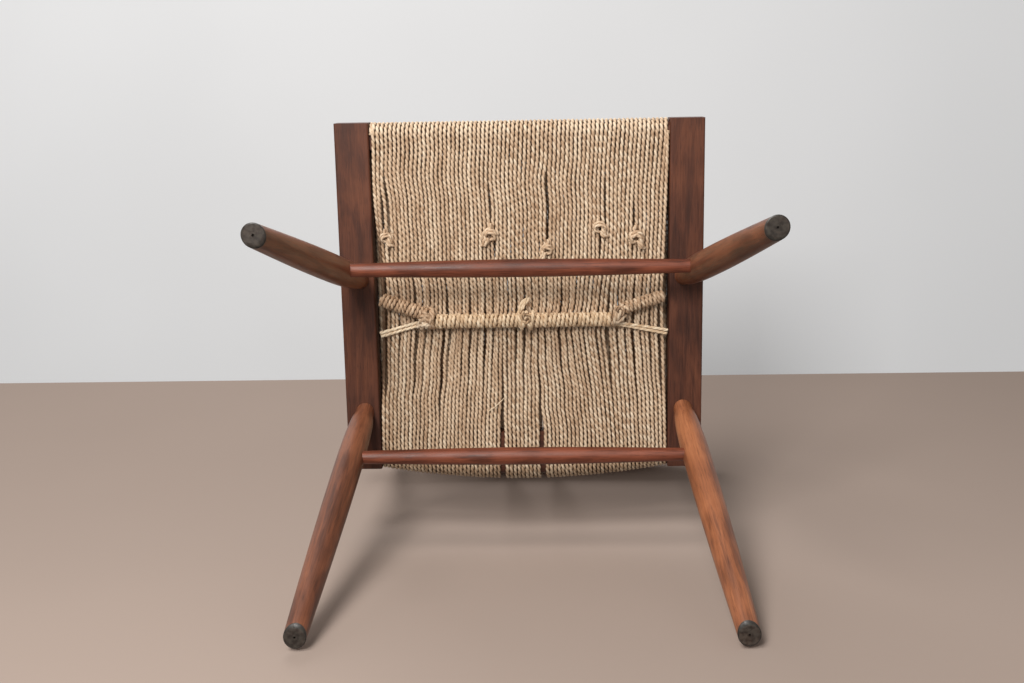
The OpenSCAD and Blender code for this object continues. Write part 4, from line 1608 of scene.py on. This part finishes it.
@dataclass(frozen=True)
class Leg:
    """A turned leg from a side rail down to the floor, cut level at its foot."""

    node: str
    side: Side
    top_y: float
    out: float
    back: float
    inset: float = 24.8
    foot: float = 26.2
    belly: float = 35.8
    neck: float = 25.0
    belly_at: float = 100.0
    neck_length: float = 8.0
    tenon: float = 24.0
    flat: float = 24.0
    hole: float = 3.0
    hole_depth: float = 4.0
    sides: int = 96

    @property
    def top(self) -> np.ndarray:
        """Where the axis meets the side rail's underside."""
        x = self.side.value * (SEAT.outer_half - self.inset)
        return np.array([x, self.top_y, SEAT.under_z])

    @property
    def floor(self) -> np.ndarray:
        """Where the axis meets the floor."""
        return np.array([self.top[0] + self.side.value * self.out, self.top_y + self.back, 0.0])

    def radius(self, along: np.ndarray) -> np.ndarray:
        """Returns the radius below the rail.

        It is straight at the neck, then a quarter sine wave up to the belly and a quarter cosine
        wave down to the foot.

        Args:
            along: distances from the side rail's underside, along the axis.

        Returns:
            The radius at each distance.
        """
        length = np.linalg.norm(self.floor - self.top)
        rise = np.clip((self.belly_at - along) / (self.belly_at - self.neck_length), 0, 1)
        upper = self.neck / 2 + (self.belly - self.neck) / 2 * np.sin(np.arccos(rise))
        share = np.clip((along - self.belly_at) / (length - self.belly_at), 0, 1.05)
        lower = self.foot / 2 + (self.belly - self.foot) / 2 * np.cos(share * math.pi / 2)
        return np.where(along < self.belly_at, upper, lower)

    def at_height(self, z: float) -> np.ndarray:
        """Returns the point of the axis at a height."""
        return self.top + (self.floor - self.top) * (SEAT.under_z - z) / SEAT.under_z

    def _face(self, rim: np.ndarray) -> np.ndarray:
        """Returns the foot's rings inside its rim: over the flat, and down into the small hole.

        Args:
            rim: the points of the foot's outermost ring.

        Returns:
            The points by ring, from the rim inwards.
        """
        level = unit((rim - self.floor) * [1, 1, 0])
        flat = self.flat / 2
        hole = self.hole / 2
        sizes = (flat, flat * 0.75, self.flat / 4, hole + 0.5, hole)
        rings = [self.floor + size * level for size in sizes]
        return np.stack([*rings, self.floor + hole * level + UP * self.hole_depth])

    def build(self, finish: Walnut) -> None:
        """Makes the leg.

        The rings slide along the axis towards the foot, so that the last ones lie in the floor's
        plane. There the surface goes on inwards over a shallow rim and the flat to the small hole.
        The end face value is one on the foot's face, two on its rim and nothing elsewhere.

        Args:
            finish: its wood.
        """
        axis = unit(self.floor - self.top)
        length = np.linalg.norm(self.floor - self.top)
        first = unit(ACROSS - axis[0] * axis)
        second = np.cross(axis, first)
        angle = FULL * np.arange(self.sides) / self.sides
        spoke = np.cos(angle)[:, None] * first + np.sin(angle)[:, None] * second
        edge = self.foot / 2 * spoke
        cut = length - edge[:, 2] / axis[2]
        for _ in range(3):
            rim = self.floor + edge + (cut - length)[:, None] * axis
            reach = np.hypot(rim[:, 0] - self.floor[0], rim[:, 1] - self.floor[1])
            lift = np.maximum(0, (reach - self.flat / 2) / 1.5)
            cut = length + (lift - edge[:, 2]) / axis[2]
        share = np.array([-self.tenon / length, *np.linspace(0, 1, 64)[:-1], 0.996, 1.0])[:, None]
        along = np.where(share < 0, share * length, share * cut)
        grid = self.top + along[..., None] * axis + self.radius(along)[..., None] * spoke
        face = self._face(grid[-1])
        grid = np.concatenate([grid, face])
        local = np.stack([(grid - self.top) @ v for v in (first, second, axis)], axis=-1)
        end = np.zeros(grid.shape[:2])
        end[-len(face):] = 1.0
        end[-len(face) - 1] = 2.0
        grain = (local + self.top * GRAIN_SHIFT) * MM
        skin = Skin()
        skin.add_tube(grid, {"grain_point": grain, "end_face": end[..., None]})
        piece = skin.build(f"{self.node}_turned")
        sharpen(piece)
        place_piece(piece, finish.material(self.node), "walnut_red", self.node)


def sharpen(piece: bpy.types.Object, degrees: float = 32.0) -> None:
    """Marks the edges of a mesh that are sharper than an angle, so that they shade as edges."""
    piece.data.set_sharp_from_angle(angle=math.radians(degrees))


@dataclass(frozen=True)
class Stretcher:
    """A turned rung between a pair of legs, thickest in its middle."""

    node: str
    leg: Leg
    drop: float
    end: float = 17.0
    middle: float = 22.8
    end_gap: float = 2.0

    def build(self, finish: Walnut) -> None:
        """Makes the rung: half a cosine wave over the length between the legs' faces.

        Args:
            finish: its wood.
        """
        place = self.leg.at_height(SEAT.under_z - self.drop)
        half = abs(place[0]) - self.end_gap
        swell = half - self.leg.belly / 2
        x = np.linspace(-half, half, 90)
        angle = np.clip(x / swell, -1, 1) * math.pi / 2
        radius = self.end / 2 + (self.middle - self.end) / 2 * np.cos(angle)
        a = np.array([0.0, place[1], place[2]])
        skin = Skin()
        turned(skin, a, a + [1.0, 0.0, 0.0], x, radius)
        piece = skin.build(f"{self.node}_turned")
        sharpen(piece)
        place_piece(piece, finish.material(self.node), "walnut_red", self.node)


@dataclass(frozen=True)
class Crest:
    """The curved crest rail: a bent slat with an oval outline and eased edges."""

    width: float = 552.0
    height: float = 76.0
    thickness: float = 20.0
    radius: float = 800.0
    z: float = 622.0
    y: float = 310.0
    lean: float = 14.0
    ease: float = 5.0

    def half_height(self, x: np.ndarray) -> np.ndarray:
        """Returns half the height: a full oval, the fifth power of x over half the width."""
        share = np.clip(np.abs(x) / (self.width / 2), 0, 1)
        return self.height / 2 * np.sqrt(1 - share**5)

    def point(self, x: np.ndarray, up: np.ndarray, out: np.ndarray) -> np.ndarray:
        """Returns a point of the bent slat: x across, up from its lower edge and out to its back.

        Args:
            x: distances across, from the middle.
            up: distances up the slat, from its lower edge in the middle.
            out: distances to the back, from the slat's middle.

        Returns:
            The points.
        """
        lean = math.radians(self.lean)
        radius = self.radius + out
        bend = -(self.radius - np.sqrt(radius**2 - np.square(x)))
        y = self.y + bend * math.cos(lean) + up * math.sin(lean)
        z = self.z - bend * math.sin(lean) + up * math.cos(lean)
        return np.stack(np.broadcast_arrays(x, y, z), axis=-1)

    def seat(self, x: float) -> np.ndarray:
        """Returns the middle of the lower edge at x, where a post or spindle enters."""
        return self.point(np.array(x), self.height / 2 - self.half_height(np.array(x)), np.array(0.0))

    def build(self, finish: Walnut) -> None:
        """Makes the slat.

        Across it runs along x by the sine of an even angle. Round it each section is a rounded
        rectangle: a corner's angle moves the point along a quarter circle of the ease's radius.

        Args:
            finish: its wood.
        """
        a = np.linspace(-math.pi / 2, math.pi / 2, 121)[1:-1]
        x = self.width / 2 * np.sin(a) * 0.99995
        corner = np.linspace(0, math.pi / 2, 7)
        outs = []
        ups = []
        for turn, (sign_out, sign_up) in enumerate(((1, 1), (-1, 1), (-1, -1), (1, -1))):
            bearing = corner + turn * math.pi / 2
            outs.append(sign_out * (self.thickness / 2 - self.ease) + self.ease * np.cos(bearing))
            ups.append(np.stack([np.full(7, sign_up), np.sin(bearing)], axis=1))
        out = np.concatenate(outs)
        up = np.concatenate(ups)
        half = self.half_height(x)[:, None]
        ease = np.minimum(self.ease, half * 0.98)
        rise = up[None, :, 0] * (half - ease) + ease * up[None, :, 1]
        grid = self.point(x[:, None], self.height / 2 + rise, -out[None, :])
        skin = Skin()
        skin.add_tube(grid, {})
        piece = skin.build("crest_rail_bent")
        sharpen(piece, 40)
        place_piece(piece, finish.material("crest_rail", (1.0, 0.0, 0.0)), "walnut_dark", "crest_rail")


@dataclass(frozen=True)
class Upright:
    """A turned post or spindle from the seat to the crest rail."""

    node: str
    foot: np.ndarray
    head: np.ndarray
    foot_width: float
    belly: float
    head_width: float
    share: float
    neck: float = 9.0
    tenon: float = 17.0

    def build(self, finish: Walnut) -> None:
        """Makes the upright.

        It is straight at both ends, and between them a quarter sine wave up to the belly and a
        quarter cosine wave down to the head.

        Args:
            finish: its wood.
        """
        length = float(np.linalg.norm(self.head - self.foot))
        middle = self.neck + self.share * (length - 2 * self.neck)
        t = np.concatenate([[-self.tenon], np.linspace(0, length, 70), [length + self.tenon]])
        low = np.clip((t - self.neck) / (middle - self.neck), 0, 1) * math.pi / 2
        high = np.clip((t - middle) / (length - self.neck - middle), 0, 1) * math.pi / 2
        below = self.foot_width / 2 + (self.belly - self.foot_width) / 2 * np.sin(low)
        above = self.head_width / 2 + (self.belly - self.head_width) / 2 * np.cos(high)
        skin = Skin()
        turned(skin, self.foot, self.head, t, np.where(t < middle, below, above), 48)
        piece = skin.build(f"{self.node}_turned")
        place_piece(piece, finish.material(self.node), "walnut_red", self.node)


@dataclass
class WoodFrame:
    """The chair's wooden pieces.

    A leg's values are its top's place behind the middle and how far its foot stands out and back.
    """

    front_leg: tuple = (-29.5, 57.0, -101.5)
    rear_leg: tuple = (154.0, 38.0, 167.0)
    front_drop: float = 81.0
    rear_drop: float = 78.5
    bar_depth: float = 30.0
    post_inset: float = 19.0
    post_y: float = 205.0
    post_head_x: float = 226.0
    post_widths: tuple = (15, 21, 13)
    post_belly_at: float = 0.4
    spindle_head_x: float = 35.0
    spindle_widths: tuple = (8.2, 14.5, 10.5)
    spindle_belly_at: float = 0.5

    def build(self) -> None:
        """Makes or dresses every wooden piece."""
        self._dress_packed()
        self._lower_frame()
        self._back()

    def _dress_packed(self) -> None:
        """Gives the rails and bars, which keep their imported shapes, their own wood."""
        back = (0.0, 1.0, 0.0)
        across = (1.0, 0.0, 0.0)
        axes = {
            "side_rail_left": back,
            "side_rail_right": back,
            "front_bar": across,
            "rear_bar": across,
        }
        for node, axis in axes.items():
            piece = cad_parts[node]
            piece.data.materials.clear()
            piece.data.materials.append(RAIL_WOOD.material(node, axis))
            LOG.info("%s: packed shape with its own wood", node)

    def _lower_frame(self) -> None:
        """Makes the legs and stretchers."""
        legs = {}
        for side in Side:
            for label, sizes in (("front", self.front_leg), ("rear", self.rear_leg)):
                leg = Leg(f"leg_{label}_{side.label}", side, *sizes)
                leg.build(PALE_LEG_WOOD if leg.node == "leg_rear_right" else LEG_WOOD)
                legs[leg.node] = leg
        Stretcher("stretcher_front", legs["leg_front_right"], self.front_drop).build(RUNG_WOOD)
        Stretcher("stretcher_rear", legs["leg_rear_right"], self.rear_drop).build(RUNG_WOOD)

    def _back(self) -> None:
        """Makes the crest rail and the posts and spindles below it."""
        crest = Crest()
        crest.build(RAIL_WOOD)
        spindle_x = SEAT.spindle_gap / 2
        spindle_y = float(SEAT.rear_nose_y(np.array(spindle_x))) - self.bar_depth / 2
        spindle_z = SEAT.bar_z + SEAT.bar_thickness / 2
        for side in Side:
            x = side.value * (SEAT.outer_half - self.post_inset)
            foot = np.array([x, self.post_y, SEAT.top_z])
            head = crest.seat(side.value * self.post_head_x)
            post = Upright(
                f"back_post_{side.label}", foot, head, *self.post_widths, self.post_belly_at
            )
            post.build(RUNG_WOOD)
            foot = np.array([side.value * spindle_x, spindle_y, spindle_z])
            head = crest.seat(side.value * self.spindle_head_x)
            spindle = Upright(
                f"back_spindle_{side.label}", foot, head, *self.spindle_widths, self.spindle_belly_at
            )
            spindle.build(RUNG_WOOD)


@dataclass(frozen=True)
class Lamp:
    """A square area lamp at a place in metres that shines at a target."""

    name: str
    place: tuple
    target: tuple
    size: float
    power: float
    colour: tuple

    def build(self) -> None:
        """Makes the lamp. Its own z axis points away from its target."""
        data = bpy.data.lights.new(self.name, "AREA")
        data.shape = "SQUARE"
        data.size = self.size
        data.energy = self.power
        data.color = self.colour
        lamp = bpy.data.objects.new(self.name, data)
        z = -unit(np.array(self.target, float) - np.array(self.place, float))
        x = unit(np.cross([0.0, 1.0, 0.1], z))
        turn = Matrix(np.stack([x, np.cross(z, x), z], axis=1).tolist())
        lamp.matrix_world = Matrix.Translation(self.place) @ turn.to_4x4()
        bpy.context.scene.collection.objects.link(lamp)


@dataclass(frozen=True)
class Sheet:
    """A flat sheet that shows only from the side from which its corners turn left."""

    name: str
    corners: tuple
    colour: tuple
    dimmer: float = 0.965

    def build(self) -> None:
        """Makes the sheet, a little cloudy, clear from behind and without a shadow."""
        mesh = bpy.data.meshes.new(self.name)
        mesh.from_pydata(self.corners, [], [(0, 1, 2, 3)])
        sheet = bpy.data.objects.new(self.name, mesh)
        bpy.context.scene.collection.objects.link(sheet)
        graph = Graph(self.name)
        cloud = graph.noise(graph.object_place(), 1.6, 2.0).ramp(0.3, 0.7)
        tone = graph.mix(cloud, tuple(self.dimmer * c for c in self.colour), self.colour)
        face = graph.add("ShaderNodeBsdfDiffuse", {}, {"Color": tone})
        clear = graph.add("ShaderNodeBsdfTransparent")
        behind = graph.add("ShaderNodeNewGeometry", output=6)
        both = graph.add("ShaderNodeMixShader", {}, {0: behind, 1: face, 2: clear})
        graph.tree.links.new(both.socket, graph.end.inputs[0])
        mesh.materials.append(graph.material)
        sheet.visible_shadow = False
        sheet.visible_diffuse = False


@dataclass
class Studio:
    """Camera, lamps, world and the pale floor and walls, none of which belong to the chair.

    The camera's place is in millimetres of the seat's frame and its tilt in radians. The board is
    the floor that the chair's back lies on, and the wall starts at its upper edge, in metres.
    """

    place: tuple = (32.442, -283.727, -1276.544)
    tilt: tuple = (0.20794, 0.02791, -0.01241)
    focal_pixels: float = 1236.05
    image_width: int = 1024
    sensor: float = 36.0
    board_y: float = 0.2862
    wall_z: float = 1.3
    far: float = 6.0
    daylight: tuple = (1.0, 0.975, 0.945, 1.0)
    daylight_strength: float = 0.28

    def _camera(self) -> None:
        """Makes the camera: three turns about x, y and z from looking straight up."""
        x, y, z = self.tilt
        turn = Matrix.Rotation(z, 3, "Z") @ Matrix.Rotation(y, 3, "Y") @ Matrix.Rotation(x, 3, "X")
        data = bpy.data.cameras.new("camera")
        data.sensor_width = self.sensor
        data.lens = self.focal_pixels * self.sensor / self.image_width
        data.clip_start = 0.01
        camera = bpy.data.objects.new("camera", data)
        place = Matrix.Translation(SEAT.to_frame(np.array(self.place)))
        rows = [turn[0], -turn[1], -turn[2]]
        camera.matrix_world = place @ Matrix(rows).transposed().to_4x4()
        bpy.context.scene.collection.objects.link(camera)
        bpy.context.scene.camera = camera

    def _sheets(self) -> tuple[Sheet, ...]:
        """Returns the ground, the board and the wall.

        Returns:
            The sheets, which are not made yet.
        """
        far = self.far
        y = self.board_y
        top = self.wall_z
        ground = ((-far, -far, 0.0), (far, -far, 0.0), (far, far, 0.0), (-far, far, 0.0))
        board = ((far, y, top), (-far, y, top), (-far, y, -far), (far, y, -far))
        wall = ((far, y, top), (far, -far, top), (-far, -far, top), (-far, y, top))
        return (
            Sheet("pale_ground", ground, (0.74, 0.72, 0.69)),
            Sheet("pale_board", board, (0.36, 0.287, 0.247)),
            Sheet("pale_wall", wall, (0.765, 0.775, 0.795)),
        )

    def _lamps(self) -> tuple[Lamp, ...]:
        """Returns two warm main lamps and a weak one below the seat, and one above it.

        Returns:
            The lamps, which are not made yet.
        """
        warm = (1.0, 0.98, 0.95)
        white = (1.0, 1.0, 1.0)
        return (
            Lamp("key", (-0.9, -2.5, -1.3), (0.0, 0.0, 0.35), 1.1, 58.0, warm),
            Lamp("second_key", (-0.6, -1.25, -1.8), (0.0, 0.16, 0.35), 0.62, 44.0, warm),
            Lamp("fill", (1.2, -0.2, -2.1), (0.0, 0.0, 0.35), 1.6, 5.0, white),
            Lamp("top", (-0.8, -1.6, 2.4), (0.0, 0.0, 0.4), 1.4, 28.0, white),
        )

    def build(self) -> None:
        """Makes the whole studio."""
        self._camera()
        for sheet in self._sheets():
            sheet.build()
        world = bpy.data.worlds.new("soft_daylight")
        bpy.context.scene.world = world
        world.use_nodes = True
        background = world.node_tree.nodes["Background"]
        background.inputs[0].default_value = self.daylight
        background.inputs[1].default_value = self.daylight_strength
        for lamp in self._lamps():
            lamp.build()
        bpy.context.scene.view_settings.view_transform = "Standard"


def main() -> None:
    """Builds the chair's dressing in order and reports each piece."""
    logging.basicConfig(level=logging.INFO, format="%(message)s")
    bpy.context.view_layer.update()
    Studio().build()
    twine = SEAT_TWINE.material()
    pale = PALE_TWINE.material()
    CordSeat().build(twine)
    CrossTie().build(pale, twine)
    Straw().build(pale)
    WoodFrame().build()


if __name__ == "__main__":
    main()
